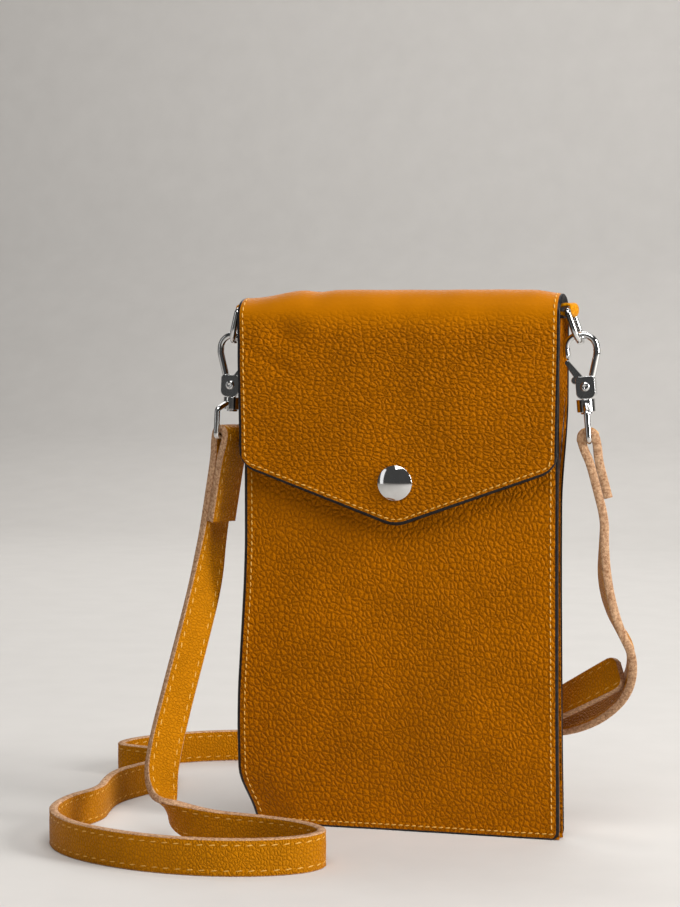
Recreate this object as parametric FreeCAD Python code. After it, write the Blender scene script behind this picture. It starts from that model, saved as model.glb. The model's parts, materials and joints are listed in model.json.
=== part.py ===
"""Leather phone pouch with a snap flap and a clip-on shoulder strap.

Frame: +X to the wearer's right as seen from the front, -Y to the front, +Z up, floor at z = 0.
"""
import FreeCAD, Part
import math
import os
from FreeCAD import Matrix, Placement, Vector

# Leather and cloth gauges
leather = 1.5
lining = 0.5
gusset_leather = 1.0
tab_leather = 1.0

# Pouch shell
front_width = 110.4
back_overhang = 1.0
total_height = 187.0
mouth_below_top = 15.0
knee_height = 35.0
full_below_mouth = 77.0
bottom_depth = 7.5
knee_depth = 10.5
mouth_depth = 13.0
panel_corner_radius = 3.0
seam_margin = 4.0
gusset_fold_bottom = 6.5
gusset_fold_mouth = 4.5
bottom_fold_height = 8.0
lining_below_mouth = 2.0

# Flap
snap_gap = 3.0
flap_taper = 1.0
flap_corner_below_top = 60.5
flap_point = 20.1
flap_corner_radius = 8.0
flap_tip_radius = 10.0

# Press stud
snap_above_tip = 15.2
cap_diameter = 12.0
cap_height = 2.2
cap_rim = 0.6
shank_diameter = 3.6
shank_reach = 0.4
socket_diameter = 11.2
socket_base = 0.7
socket_bore = 7.0
stud_flange_diameter = 10.0
stud_flange = 0.6
stud_neck_diameter = 4.2
stud_head_diameter = 5.0
stud_head = 0.5
stud_reach = 1.6
post_diameter = 3.2
post_flange = 0.5
snap_spring_wire = 0.6
snap_spring_opening = 50.0
snap_clearance = 0.1

# Ring tabs and D-rings
ring_wire = 2.2
ring_length = 11.4
ring_corner_radius = 1.5
ring_side_play = 0.5
tab_width = 6.4
tab_clearance = 0.1
tab_tail = 24.0
ring_bar_out = 2.3
ring_bar_below_top = 7.0
ring_y = 2.4
ring_tilts = {"right": 20.5, "left": 13.0}

# Swivel hooks, measured down from the ring's lowest wire
hook_wire = 2.4
hook_bow_width = 12.6
hook_clearance = 0.1
hook_neck = 11.5
hook_body_height = 7.5
hook_body_inside = 2.6
hook_body_outside = 3.8
hook_body_thickness = 4.4
hook_body_radius = 1.0
hook_nose_drop = 4.0
bow_corner_share = 0.9
gate_slot = 2.2
gate_thickness = 1.9
gate_slot_back = 2.1
gate_slot_floor = 1.5
gate_boss_diameter = 3.0
gate_tip_diameter = 1.7
gate_tip_gap = 0.45
gate_knob_diameter = 2.6
gate_spring_strip = 0.3
rivet_diameter = 1.6
rivet_head_diameter = 3.2
rivet_head = 0.45
rivet_x = 0.5
rivet_drop = 14.9
running_clearance = 0.05
seat_clearance = 0.02
swivel_gap = 0.15
collar_diameter = 6.2
collar_height = 4.2
post_pin_diameter = 2.5
post_head_diameter = 3.8
post_head = 0.6
eye_wire = 2.0
eye_drop = 33.0
eye_inner_width = 12.8
eye_corner_radius = 1.3
eye_root = 0.5
hook_tilts = {"right": 5.0, "left": 3.0}
eye_turns = {"right": 10.0, "left": 25.0}

# Strap
strap_width = 12.0
strap_thickness = 3.4
strap_end_lengths = {"right": 20.0, "left": 30.0}
strap_end_opening = 8.0
strap_end_leans = {"right": 10.0, "left": 8.0}
strap_ply_sides = {"right": 1, "left": -1}
strap_break = 0.1
strap_lead = 7.0
tail_tip_length = 3.0
tail_tip_width_share = 0.62

# Buckle that joins the long and the short strap behind the pouch
buckle_centre = Vector(20.7, 42.0, 30.0)
buckle_run = Vector(0.84, -0.50, 0.20)
buckle_across = Vector(0.26, 0.70, 0.66)
buckle_length = 14.0
buckle_wire = 2.0
buckle_inner_width = 12.8
buckle_corner_radius = 1.3
buckle_ply = 1.3
buckle_fold_length = 9.0
buckle_clearance = 0.1
buckle_straight = 30.0
prong_wire = 1.7
prong_slot = 3.2
prong_eye_width = 2.4
prong_hole = 3.3
prong_overhang = 0.8
keeper_place = 20.0
keeper_width = 6.0
keeper_leather = 1.2
keeper_clearance = 0.3

overrun = 5.0

# The long strap's route: place and width direction, from the left hook's strap end to the buckle
long_route = [
    ((-70.4, 0.6, 85.0), (0.63, 0.777, 0.0)),
    ((-72.4, -8.0, 67.0), (0.63, 0.777, 0.0)),
    ((-74.9, -18.0, 47.0), (0.63, 0.777, 0.0)),
    ((-76.9, -25.0, 31.0), (0.70, 0.65, -0.30)),
    ((-76.9, -30.5, 19.0), (0.62, 0.45, -0.64)),
    ((-71.8, -34.5, 9.5), (0.35, 0.30, -0.89)),
    ((-58.0, -37.0, 6.2), (0.0, 0.05, -1.0)),
    ((-38.3, -38.5, 6.0), (0.0, 0.0, -1.0)),
    ((-22.3, -43.0, 6.0), (0.0, 0.0, -1.0)),
    ((-11.3, -52.0, 6.0), (0.0, 0.0, -1.0)),
    ((-15.3, -64.0, 6.0), (0.0, 0.0, -1.0)),
    ((-31.3, -73.0, 6.0), (0.0, 0.0, -1.0)),
    ((-53.0, -76.5, 6.0), (0.0, 0.0, -1.0)),
    ((-76.6, -73.0, 6.0), (0.0, 0.0, -1.0)),
    ((-98.0, -63.0, 6.0), (0.0, 0.0, -1.0)),
    ((-111.0, -46.0, 6.0), (0.0, 0.0, -1.0)),
    ((-112.5, -26.0, 6.0), (0.0, 0.0, -1.0)),
    ((-106.5, -10.0, 6.0), (0.0, 0.0, -1.0)),
    ((-110.5, 6.0, 6.0), (0.0, 0.0, -1.0)),
    ((-112.0, 20.0, 6.0), (0.0, 0.0, -1.0)),
    ((-108.0, 33.0, 6.0), (0.0, 0.0, -1.0)),
    ((-103.0, 46.0, 6.0), (0.0, 0.0, -1.0)),
    ((-101.5, 56.0, 6.0), (0.0, 0.0, -1.0)),
    ((-108.0, 63.5, 6.0), (0.0, 0.0, -1.0)),
    ((-119.4, 65.5, 6.0), (0.0, 0.0, -1.0)),
    ((-130.4, 68.5, 6.0), (0.0, 0.0, -1.0)),
    ((-128.9, 80.0, 6.0), (0.0, 0.0, -1.0)),
    ((-119.4, 92.0, 6.0), (0.0, 0.0, -1.0)),
    ((-104.0, 104.0, 6.0), (0.0, 0.0, -1.0)),
    ((-83.6, 111.0, 6.0), (0.0, 0.0, -1.0)),
    ((-61.0, 112.0, 6.0), (0.0, 0.0, -1.0)),
    ((-39.3, 105.0, 6.4), (0.0, 0.0, -1.0)),
    ((-21.3, 91.0, 8.0), (-0.05, -0.15, -0.98)),
    ((-7.3, 73.0, 12.5), (-0.15, -0.40, -0.90)),
    ((2.2, 60.0, 18.5), (-0.24, -0.60, -0.76)),
]
# The long strap through the buckle: along the buckle and above its plane
buckle_route = [(-18.0, -3.7), (-4.5, -3.7), (8.5, 7.4), (17.0, 4.5), (26.0, 3.8)]
# The long strap's free tail beyond the buckle
tail_route = [
    ((52.7, 21.8, 44.2), (0.10, -0.58, -0.80)),
    ((71.7, 14.0, 56.0), (0.30, -0.45, -0.84)),
]
# The short strap, from the right hook's strap end to the buckle
short_route = [
    ((69.7, 2.2, 103.0), (-0.17, 0.985, 0.0)),
    ((69.9, 2.8, 88.0), (-0.15, 0.98, 0.10)),
    ((73.5, 5.0, 74.5), (-0.05, 0.95, 0.30)),
    ((78.8, 9.5, 63.0), (0.0, 0.90, 0.43)),
    ((78.0, 15.5, 51.0), (0.0, 0.85, 0.52)),
    ((69.9, 20.5, 42.4), (0.10, 0.80, 0.60)),
    ((58.7, 24.0, 37.6), (0.20, 0.75, 0.63)),
]
landing_place = 6.5
rear_place = 30.5
arc_share = 0.45
arc_step = 20.0

# Places that follow from the sizes above
back_width = front_width + 2 * back_overhang
mouth_height = total_height - mouth_below_top
full_height = mouth_height - full_below_mouth
flap_corner_height = total_height - flap_corner_below_top
flap_tip_height = flap_corner_height - flap_point
snap_height = flap_tip_height + snap_above_tip
ring_bar_x = front_width / 2 + ring_bar_out
ring_bar_height = total_height - ring_bar_below_top
back_y = (mouth_depth + snap_gap + leather + lining + cap_height) / 2
back_inner = back_y - leather
fold_radius = (mouth_depth + snap_gap + leather + lining) / 2
fold_y = back_y - fold_radius
fold_z = total_height - fold_radius
mouth_front = back_y - mouth_depth
mouth_inner = mouth_front + leather
flap_inner = mouth_front - snap_gap
flap_middle = flap_inner - lining
flap_outer = flap_middle - leather
gusset_fold_full = gusset_fold_bottom + (gusset_fold_mouth - gusset_fold_bottom) * (
    (full_height - knee_height) / (mouth_height - knee_height)
)
levels = [
    (0, bottom_depth, gusset_fold_bottom),
    (knee_height, knee_depth, gusset_fold_bottom),
    (full_height, mouth_depth, gusset_fold_full),
    (mouth_height, mouth_depth, gusset_fold_mouth),
]
lining_half = front_width / 2 - gusset_fold_bottom - gusset_leather
prong_rise = buckle_wire / 2 + prong_wire / 2 + seat_clearance
made = {}


def keep(name, shape):
    """Stores one finished piece under its name."""
    made[name] = shape


def corner_cut(before, at, after, radius):
    """The start, middle and end of the arc that rounds one corner."""
    back = (before - at).normalize()
    ahead = (after - at).normalize()
    half = back.getAngle(ahead) / 2
    cut = radius / math.tan(half)
    middle_way = (back + ahead).normalize()
    middle = at + middle_way * (radius / math.sin(half) - radius)
    return at + back * cut, middle, at + ahead * cut


def rounded_edges(corners, closed):
    """Lines and arcs through (point, radius) corners."""
    count = len(corners)
    joints = []
    for i, (at, radius) in enumerate(corners):
        inside = closed or 0 < i < count - 1
        if radius and inside:
            before = corners[i - 1][0]
            after = corners[(i + 1) % count][0]
            joints.append(corner_cut(before, at, after, radius))
        else:
            joints.append((at, None, at))
    edges = []
    for i, (start, middle, end) in enumerate(joints):
        if middle:
            edges.append(Part.Arc(start, middle, end).toShape())
        if closed or i < count - 1:
            following = joints[(i + 1) % count][0]
            edges.append(Part.LineSegment(end, following).toShape())
    return edges


def plate_xz(corners, y_low, y_high):
    """A plate with the outline (x, z, radius) between two depths."""
    points = [(Vector(x, y_low, z), radius) for x, z, radius in corners]
    face = Part.Face(Part.Wire(rounded_edges(points, True)))
    return face.extrude(Vector(0, y_high - y_low, 0))


def bar_yz(points, half_width):
    """A bar along X with the outline (y, z)."""
    ring = [Vector(-half_width, y, z) for y, z in points]
    face = Part.Face(Part.makePolygon(ring + ring[:1]))
    return face.extrude(Vector(2 * half_width, 0, 0))


def disc_y(radius, y_low, y_high, z):
    """A disc about the press stud's axis."""
    return Part.makeCylinder(radius, y_high - y_low, Vector(0, y_low, z), Vector(0, 1, 0))


def tube(corners, diameter):
    """A round wire along (point, radius) corners."""
    edges = rounded_edges(corners, False)
    start = corners[0][0]
    ahead = corners[1][0] - start
    ring = Part.Wire(Part.makeCircle(diameter / 2, start, ahead))
    return Part.Wire(edges).makePipeShell([ring], True, False)


def ball(at, diameter):
    return Part.makeSphere(diameter / 2, at)


def front_y(z):
    """The front panel's outer face at a height."""
    for (z_low, deep_low, _), (z_high, deep_high, _) in zip(levels, levels[1:]):
        if z <= z_high:
            share = (z - z_low) / (z_high - z_low)
            return back_y - deep_low - share * (deep_high - deep_low)
    return mouth_front


def gusset_fold(z):
    """How deep the side gusset folds in at a height."""
    for (z_low, _, fold_low), (z_high, _, fold_high) in zip(levels, levels[1:]):
        if z <= z_high:
            return fold_low + (fold_high - fold_low) * (z - z_low) / (z_high - z_low)
    return gusset_fold_mouth


def front_sheet(offset, thickness, z_low, z_high, half_width):
    """A sheet that follows the front panel, a given offset behind its outer face."""
    heights = [z_low] + [z for z, _, _ in levels if z_low < z < z_high] + [z_high]
    near = [(front_y(z) + offset, z) for z in heights]
    far = [(y + thickness, z) for y, z in near]
    return bar_yz(near + far[::-1], half_width)


def make_panels():
    """Front and back leather with their linings."""
    outline = [
        (-front_width / 2, 0, panel_corner_radius),
        (front_width / 2, 0, panel_corner_radius),
        (front_width / 2, mouth_height, 0),
        (-front_width / 2, mouth_height, 0),
    ]
    cutter = plate_xz(outline, -back_y - overrun, back_y + overrun)
    front = front_sheet(0, leather, 0, mouth_height, front_width / 2).common(cutter)
    post_hole = post_diameter / 2 + snap_clearance
    hole = disc_y(post_hole, mouth_front - overrun, mouth_front + overrun, snap_height)
    keep("front_panel", front.cut(hole))
    lining_top = mouth_height - lining_below_mouth
    inner = front_sheet(leather, lining, bottom_fold_height, lining_top, lining_half)
    keep("front_lining", inner.cut(hole))
    half = back_width / 2
    back = [
        (-half, 0, panel_corner_radius),
        (half, 0, panel_corner_radius),
        (half, fold_z, 0),
        (-half, fold_z, 0),
    ]
    keep("back_panel", plate_xz(back, back_inner, back_y))
    back_cloth = [
        (-lining_half, bottom_fold_height, 0),
        (lining_half, bottom_fold_height, 0),
        (lining_half, fold_z, 0),
        (-lining_half, fold_z, 0),
    ]
    keep("back_lining", plate_xz(back_cloth, back_inner - lining, back_inner))


def gusset_section(z, depth, fold):
    """The folded strip's section at one height, on the right side."""
    front = back_y - depth + leather
    middle = (front + back_inner) / 2
    front_edge = front_width / 2
    back_edge = back_width / 2
    valley = front_edge - fold
    ring = [
        (front_edge, front),
        (front_edge - seam_margin, front),
        (valley - gusset_leather, middle),
        (front_edge - seam_margin, back_inner),
        (back_edge, back_inner),
        (back_edge, back_inner - gusset_leather),
        (front_edge - seam_margin, back_inner - gusset_leather),
        (valley, middle),
        (front_edge - seam_margin, front + gusset_leather),
        (front_edge, front + gusset_leather),
    ]
    points = [Vector(x, y, z) for x, y in ring]
    return Part.makePolygon(points + points[:1])


def make_gussets():
    """The folded side strips and the folded bottom strip between the panels."""
    right = Part.makeLoft([gusset_section(*level) for level in levels], True, True)
    keep("gusset_right", right)
    keep("gusset_left", right.mirror(Vector(0, 0, 0), Vector(1, 0, 0)))
    margin = min(seam_margin, bottom_fold_height / 2)
    front_low = front_y(0) + leather
    front_high = front_y(margin) + leather
    middle = (front_high + back_inner) / 2
    strip = [
        (front_low, 0),
        (front_high, margin),
        (middle, bottom_fold_height),
        (back_inner, margin),
        (back_inner, 0),
        (back_inner - gusset_leather, 0),
        (back_inner - gusset_leather, margin),
        (middle, bottom_fold_height - gusset_leather),
        (front_high + gusset_leather, margin),
        (front_low + gusset_leather, 0),
    ]
    keep("gusset_bottom", bar_yz(strip, lining_half))


def fold_band(inner, outer):
    """A half-round band over the top, between two radii about the fold's axis."""
    half = back_width / 2
    start = Vector(-half, fold_y, fold_z)
    axis = Vector(1, 0, 0)
    rounds = [Part.makeCylinder(r, back_width, start, axis) for r in (outer, inner)]
    above = Part.makeBox(back_width, 2 * fold_radius, fold_radius, start - Vector(0, fold_radius, 0))
    return rounds[0].cut(rounds[1]).common(above)


def make_flap():
    """The fold over the top, and the pointed flap with its lining."""
    keep("flap_fold", fold_band(fold_radius - leather, fold_radius))
    keep("fold_lining", fold_band(fold_radius - leather - lining, fold_radius - leather))
    half = back_width / 2
    low = half - flap_taper
    outline = [
        (half, fold_z, 0),
        (-half, fold_z, 0),
        (-low, flap_corner_height, flap_corner_radius),
        (0, flap_tip_height, flap_tip_radius),
        (low, flap_corner_height, flap_corner_radius),
    ]
    hole_radius = shank_diameter / 2 + snap_clearance
    hole = disc_y(hole_radius, flap_outer - overrun, flap_inner + overrun, snap_height)
    keep("flap_panel", plate_xz(outline, flap_outer, flap_middle).cut(hole))
    keep("flap_lining", plate_xz(outline, flap_middle, flap_inner).cut(hole))


def make_snap():
    """The press stud: cap, socket and spring on the flap, stud and post on the front."""
    cap_radius = cap_diameter / 2
    crown = cap_height - cap_rim
    sphere_radius = (cap_radius**2 + crown**2) / (2 * crown)
    rim_y = flap_outer - cap_rim
    dome = Part.makeSphere(sphere_radius, Vector(0, rim_y - crown + sphere_radius, snap_height))
    cap = disc_y(cap_radius, rim_y - crown, flap_outer, snap_height)
    shank = disc_y(shank_diameter / 2, flap_outer, flap_inner + shank_reach, snap_height)
    rim = disc_y(cap_radius, rim_y, flap_outer, snap_height)
    keep("snap_cap", cap.common(dome).fuse(rim).fuse(shank).removeSplitter())
    stud_face = mouth_front - stud_flange
    socket_end = stud_face - snap_clearance
    socket = disc_y(socket_diameter / 2, flap_inner, socket_end, snap_height)
    shank_hole = disc_y(shank_diameter / 2, flap_inner, flap_inner + shank_reach, snap_height)
    bore = disc_y(socket_bore / 2, flap_inner + socket_base, socket_end, snap_height)
    keep("snap_socket", socket.cut(shank_hole).cut(bore))
    spring_y = (flap_inner + socket_base + socket_end) / 2
    spring_radius = socket_bore / 2 - snap_spring_wire / 2 - snap_clearance / 2
    spring = Part.makeTorus(
        spring_radius,
        snap_spring_wire / 2,
        Vector(0, spring_y, snap_height),
        Vector(0, 1, 0),
        -180,
        180,
        360 - snap_spring_opening,
    )
    keep("snap_spring", spring)
    post_hole = post_diameter / 2 + snap_clearance
    flange = disc_y(stud_flange_diameter / 2, stud_face, mouth_front, snap_height)
    neck = disc_y(stud_neck_diameter / 2, stud_face - stud_reach, stud_face, snap_height)
    head_low = stud_face - stud_reach
    head = disc_y(stud_head_diameter / 2, head_low, head_low + stud_head, snap_height)
    well = disc_y(post_hole, stud_face - stud_flange, mouth_front, snap_height)
    keep("snap_stud", flange.fuse(neck).fuse(head).cut(well).removeSplitter())
    lining_face = mouth_inner + lining
    barrel = disc_y(post_diameter / 2, stud_face - stud_flange, lining_face, snap_height)
    base = disc_y(stud_flange_diameter / 2, lining_face, lining_face + post_flange, snap_height)
    keep("snap_post", barrel.fuse(base).removeSplitter())


def to_side(shape, side, tilt, at):
    """Turns a right-hand piece outward, moves it to its place and mirrors it for the left."""
    shape = shape.copy()
    shape.rotate(Vector(0, 0, 0), Vector(0, 1, 0), -tilt)
    shape.translate(at)
    return shape if side == "right" else shape.mirror(Vector(0, 0, 0), Vector(1, 0, 0))


def tilted(point, tilt, at):
    """The point of a right-hand piece after its tilt and move."""
    turn = math.radians(tilt)
    x = point.x * math.cos(turn) - point.z * math.sin(turn)
    z = point.x * math.sin(turn) + point.z * math.cos(turn)
    return Vector(x, point.y, z) + at


def ring_bar():
    return Vector(ring_bar_x, ring_y, ring_bar_height)


def hook_pivot(side):
    """The ring's lowest point, where the hook hangs, as on the right side."""
    return tilted(Vector(0, 0, -ring_length), ring_tilts[side], ring_bar())


def make_tab_and_ring(side):
    """The leather tab sewn inside the gusset, and the D-ring it holds."""
    bar = ring_bar()
    inner = ring_wire / 2 + tab_clearance
    outer = inner + tab_leather
    top = bar.z + tab_leather
    fold = gusset_fold(top - tab_tail)
    tail_right = front_width / 2 - fold - gusset_leather
    tail_left = tail_right - 2 * tab_leather
    neck_x = bar.x - 2 * outer
    low_y = bar.y - tab_width / 2
    loop = Part.makeCylinder(outer, tab_width, Vector(bar.x, low_y, bar.z), Vector(0, 1, 0))
    hole = Part.makeCylinder(inner, tab_width, Vector(bar.x, low_y, bar.z), Vector(0, 1, 0))
    outline = [
        (bar.x, bar.z + outer, 0),
        (neck_x, top, 0),
        (tail_left, top, tab_leather),
        (tail_left, top - tab_tail, 0),
        (tail_right, top - tab_tail, 0),
        (tail_right, top - 2 * tab_leather, 0),
        (neck_x, top - 2 * tab_leather, 0),
        (bar.x, bar.z - outer, 0),
    ]
    tab = plate_xz(outline, low_y, low_y + tab_width).fuse(loop).cut(hole)
    tab = tab.removeSplitter()
    keep("ring_tab_" + side, to_side(tab, side, 0, Vector(0, 0, 0)))
    half = (tab_width + ring_wire) / 2 + ring_side_play
    straight = ring_length - half
    arc_middle = Vector(0, half * math.sqrt(1 / 2), -straight - half * math.sqrt(1 / 2))
    top_edges = rounded_edges(
        [(Vector(0, 0, 0), 0), (Vector(0, half, 0), ring_corner_radius), (Vector(0, half, -straight), 0)],
        False,
    )
    bend = Part.Arc(Vector(0, half, -straight), arc_middle, Vector(0, 0, -ring_length)).toShape()
    wire = Part.Wire(top_edges + [bend])
    ring_profile = Part.Wire(Part.makeCircle(ring_wire / 2, Vector(0, 0, 0), Vector(0, 1, 0)))
    half_ring = wire.makePipeShell([ring_profile], True, False)
    ring = half_ring.fuse(half_ring.mirror(Vector(0, 0, 0), Vector(0, 1, 0))).removeSplitter()
    keep("d_ring_" + side, to_side(ring, side, ring_tilts[side], bar))


def gate_line():
    """The gate's rivet and the middle of its tip, as on the right side."""
    rivet = Vector(rivet_x, 0, -rivet_drop)
    reach = hook_bow_width / 2 - hook_wire / 2
    tip_z = -hook_nose_drop - hook_wire / 2 - gate_tip_gap - gate_tip_diameter / 2
    return rivet, Vector(-reach, 0, tip_z)


def flat_link(one, one_diameter, other, other_diameter, thickness):
    """A flat link between two round ends, in the XZ plane and centred on y = 0."""
    run = (other - one).normalize()
    side = Vector(-run.z, 0, run.x)
    low = Vector(0, -thickness / 2, 0)
    corners = [
        one + side * (one_diameter / 2),
        other + side * (other_diameter / 2),
        other - side * (other_diameter / 2),
        one - side * (one_diameter / 2),
    ]
    ring = [p + low for p in corners]
    web = Part.Face(Part.makePolygon(ring + ring[:1])).extrude(Vector(0, thickness, 0))
    ends = [
        Part.makeCylinder(d / 2, thickness, p + low, Vector(0, 1, 0))
        for p, d in ((one, one_diameter), (other, other_diameter))
    ]
    return web.fuse(ends[0]).fuse(ends[1]).removeSplitter()


def hook_frame():
    """The cast hook: bow, slotted body and the pin of the swivel."""
    reach = hook_bow_width / 2 - hook_wire / 2
    crown = ring_wire / 2 + hook_clearance + hook_wire / 2
    arm_foot = Vector(hook_body_outside - hook_wire / 2, 0, -hook_neck - hook_body_radius)
    shoulder = Vector(reach, 0, -hook_nose_drop)
    nose = Vector(-reach, 0, -hook_nose_drop)
    corner = reach * bow_corner_share
    bow = tube(
        [
            (arm_foot, 0),
            (shoulder, reach),
            (Vector(reach, 0, crown), corner),
            (Vector(-reach, 0, crown), corner),
            (nose, 0),
        ],
        hook_wire,
    ).fuse(ball(nose, hook_wire))
    top = -hook_neck
    bottom = top - hook_body_height
    body = plate_xz(
        [
            (-hook_body_inside, top, hook_body_radius),
            (hook_body_outside, top, hook_body_radius),
            (hook_body_outside, bottom, 2 * hook_body_radius),
            (-hook_body_inside, bottom, 2 * hook_body_radius),
        ],
        -hook_body_thickness / 2,
        hook_body_thickness / 2,
    )
    pin_length = swivel_gap * 2 + collar_height + post_head
    pin = Part.makeCylinder(post_pin_diameter / 2, pin_length, Vector(0, 0, bottom), Vector(0, 0, -1))
    head_top = bottom - swivel_gap * 2 - collar_height
    head = Part.makeCylinder(post_head_diameter / 2, post_head, Vector(0, 0, head_top), Vector(0, 0, -1))
    frame = bow.fuse(body).fuse(pin).fuse(head)
    slot_floor = bottom + gate_slot_floor
    slot = Part.makeBox(
        hook_body_inside + overrun + gate_slot_back,
        gate_slot,
        top - slot_floor,
        Vector(-hook_body_inside - overrun, -gate_slot / 2, slot_floor),
    )
    rivet_hole = Part.makeCylinder(
        rivet_diameter / 2 + seat_clearance,
        hook_body_thickness,
        Vector(rivet_x, -hook_body_thickness / 2, -rivet_drop),
        Vector(0, 1, 0),
    )
    return frame.cut(slot).cut(rivet_hole).removeSplitter()


def hook_gate():
    """The sprung gate with its boss and thumb knob."""
    rivet, tip = gate_line()
    gate = flat_link(rivet, gate_boss_diameter, tip, gate_tip_diameter, gate_thickness)
    run = (tip - rivet).normalize()
    outward = Vector(-run.z, 0, run.x)
    if outward.x > 0:
        outward = outward * -1
    knob_at = rivet + run * (hook_body_height / 2) + outward * (gate_boss_diameter / 2)
    knob = Part.makeCylinder(
        gate_knob_diameter / 2,
        gate_thickness,
        knob_at - Vector(0, gate_thickness / 2, 0),
        Vector(0, 1, 0),
    )
    hole = Part.makeCylinder(
        rivet_diameter / 2 + running_clearance,
        gate_thickness,
        rivet - Vector(0, gate_thickness / 2, 0),
        Vector(0, 1, 0),
    )
    return gate.fuse(knob).cut(hole).removeSplitter()


def gate_rivet():
    """The rivet through the hook's cheeks and the gate."""
    half = hook_body_thickness / 2
    base = Vector(rivet_x, 0, -rivet_drop)
    shaft = Part.makeCylinder(rivet_diameter / 2, 2 * half, base - Vector(0, half, 0), Vector(0, 1, 0))
    heads = [
        Part.makeCylinder(rivet_head_diameter / 2, rivet_head, base + Vector(0, side * half, 0), Vector(0, side, 0))
        for side in (-1, 1)
    ]
    return shaft.fuse(heads[0]).fuse(heads[1]).removeSplitter()


def gate_spring():
    """The leaf under the gate's boss, bent up from the slot's floor."""
    floor = -hook_neck - hook_body_height + gate_slot_floor
    boss_low = -rivet_drop - gate_boss_diameter / 2
    left = -hook_body_inside + gate_spring_strip
    right = gate_slot_back - gate_spring_strip
    rise = boss_low - floor - 2 * gate_spring_strip
    leaf = [
        (left, floor, 0),
        (right, floor, 0),
        (right, floor + gate_spring_strip, 0),
        (rivet_x, floor + gate_spring_strip + rise, 0),
        (left, floor + gate_spring_strip + rise, 0),
        (left, floor + rise, 0),
        (rivet_x, floor + rise, 0),
        (rivet_x + rise, floor + gate_spring_strip / 2, 0),
        (left, floor + gate_spring_strip / 2, 0),
    ]
    return plate_xz(leaf, -gate_thickness / 2, gate_thickness / 2)


def swivel_eye(turn):
    """The collar that turns on the hook's pin, and the eye for the strap."""
    top = -hook_neck - hook_body_height - swivel_gap
    base = Vector(0, 0, top - collar_height)
    collar = Part.makeCylinder(collar_diameter / 2, collar_height, base, Vector(0, 0, 1))
    hole_radius = post_pin_diameter / 2 + running_clearance
    hole = Part.makeCylinder(hole_radius, collar_height, base, Vector(0, 0, 1))
    half = (eye_inner_width + eye_wire) / 2
    foot = Vector(0, collar_diameter / 2 - eye_root, top - collar_height / 2)
    arm = tube(
        [
            (foot, 0),
            (Vector(0, half, top - collar_height), eye_corner_radius),
            (Vector(0, half, -eye_drop), eye_corner_radius),
            (Vector(0, 0, -eye_drop), 0),
        ],
        eye_wire,
    )
    other = arm.mirror(Vector(0, 0, 0), Vector(0, 1, 0))
    eye = collar.fuse(arm).fuse(other).cut(hole).removeSplitter()
    eye.rotate(Vector(0, 0, 0), Vector(0, 0, 1), turn)
    return eye


def strap_end(side):
    """The strap's end: folded round the eye's bar, back onto itself and sewn down."""
    inner = eye_wire / 2 + tab_clearance
    outer = inner + strap_thickness
    low_y = -strap_width / 2
    length = strap_end_lengths[side]
    outline = [
        (-outer, 0, 0),
        (outer, 0, 0),
        (strap_thickness, -strap_end_opening, 0),
        (strap_thickness, -length, 0),
        (-strap_thickness, -length, 0),
        (-strap_thickness, -strap_end_opening, 0),
    ]
    opening = [(-inner, 0, 0), (inner, 0, 0), (0, -strap_end_opening, 0)]
    loop = Part.makeCylinder(outer, strap_width, Vector(0, low_y, 0), Vector(0, 1, 0))
    hole = Part.makeCylinder(inner, strap_width, Vector(0, low_y, 0), Vector(0, 1, 0))
    end = plate_xz(outline, low_y, low_y + strap_width).fuse(loop)
    end = end.cut(hole).cut(plate_xz(opening, low_y, low_y + strap_width)).removeSplitter()
    end.rotate(Vector(0, 0, 0), Vector(0, 1, 0), -strap_end_leans[side])
    end.translate(Vector(0, 0, -eye_drop))
    end.rotate(Vector(0, 0, 0), Vector(0, 0, 1), eye_turns[side])
    return end


def strap_start(side):
    """The free strap's first two route points, in line with its folded end."""
    lean = math.radians(strap_end_leans[side])
    ply = -strap_ply_sides[side] * strap_thickness / 2
    down = Vector(math.sin(lean), 0, -math.cos(lean))
    across = Vector(math.cos(lean), 0, math.sin(lean))
    point = down * (strap_end_lengths[side] + strap_break) + across * ply
    turn = math.radians(eye_turns[side])
    turned = []
    for p in (point, down):
        turned.append(Vector(p.x * math.cos(turn), p.x * math.sin(turn), p.z))
    at = hook_pivot(side)
    place = tilted(turned[0] - Vector(0, 0, eye_drop), hook_tilts[side], at)
    way = tilted(turned[1], hook_tilts[side], Vector(0, 0, 0))
    bar = Vector(-math.sin(turn), math.cos(turn), 0)
    if side == "left":
        place.x = -place.x
        way.x = -way.x
        bar.x = -bar.x
    return [(place, bar), (place + way * strap_lead, bar)]


def make_hook(side):
    """One swivel hook with its gate, rivet, spring, eye and the strap's end."""
    pieces = {
        "hook_frame": hook_frame(),
        "hook_gate": hook_gate(),
        "gate_rivet": gate_rivet(),
        "gate_spring": gate_spring(),
        "swivel_eye": swivel_eye(eye_turns[side]),
        "strap_end": strap_end(side),
    }
    for name, shape in pieces.items():
        keep(name + "_" + side, to_side(shape, side, hook_tilts[side], hook_pivot(side)))


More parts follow.
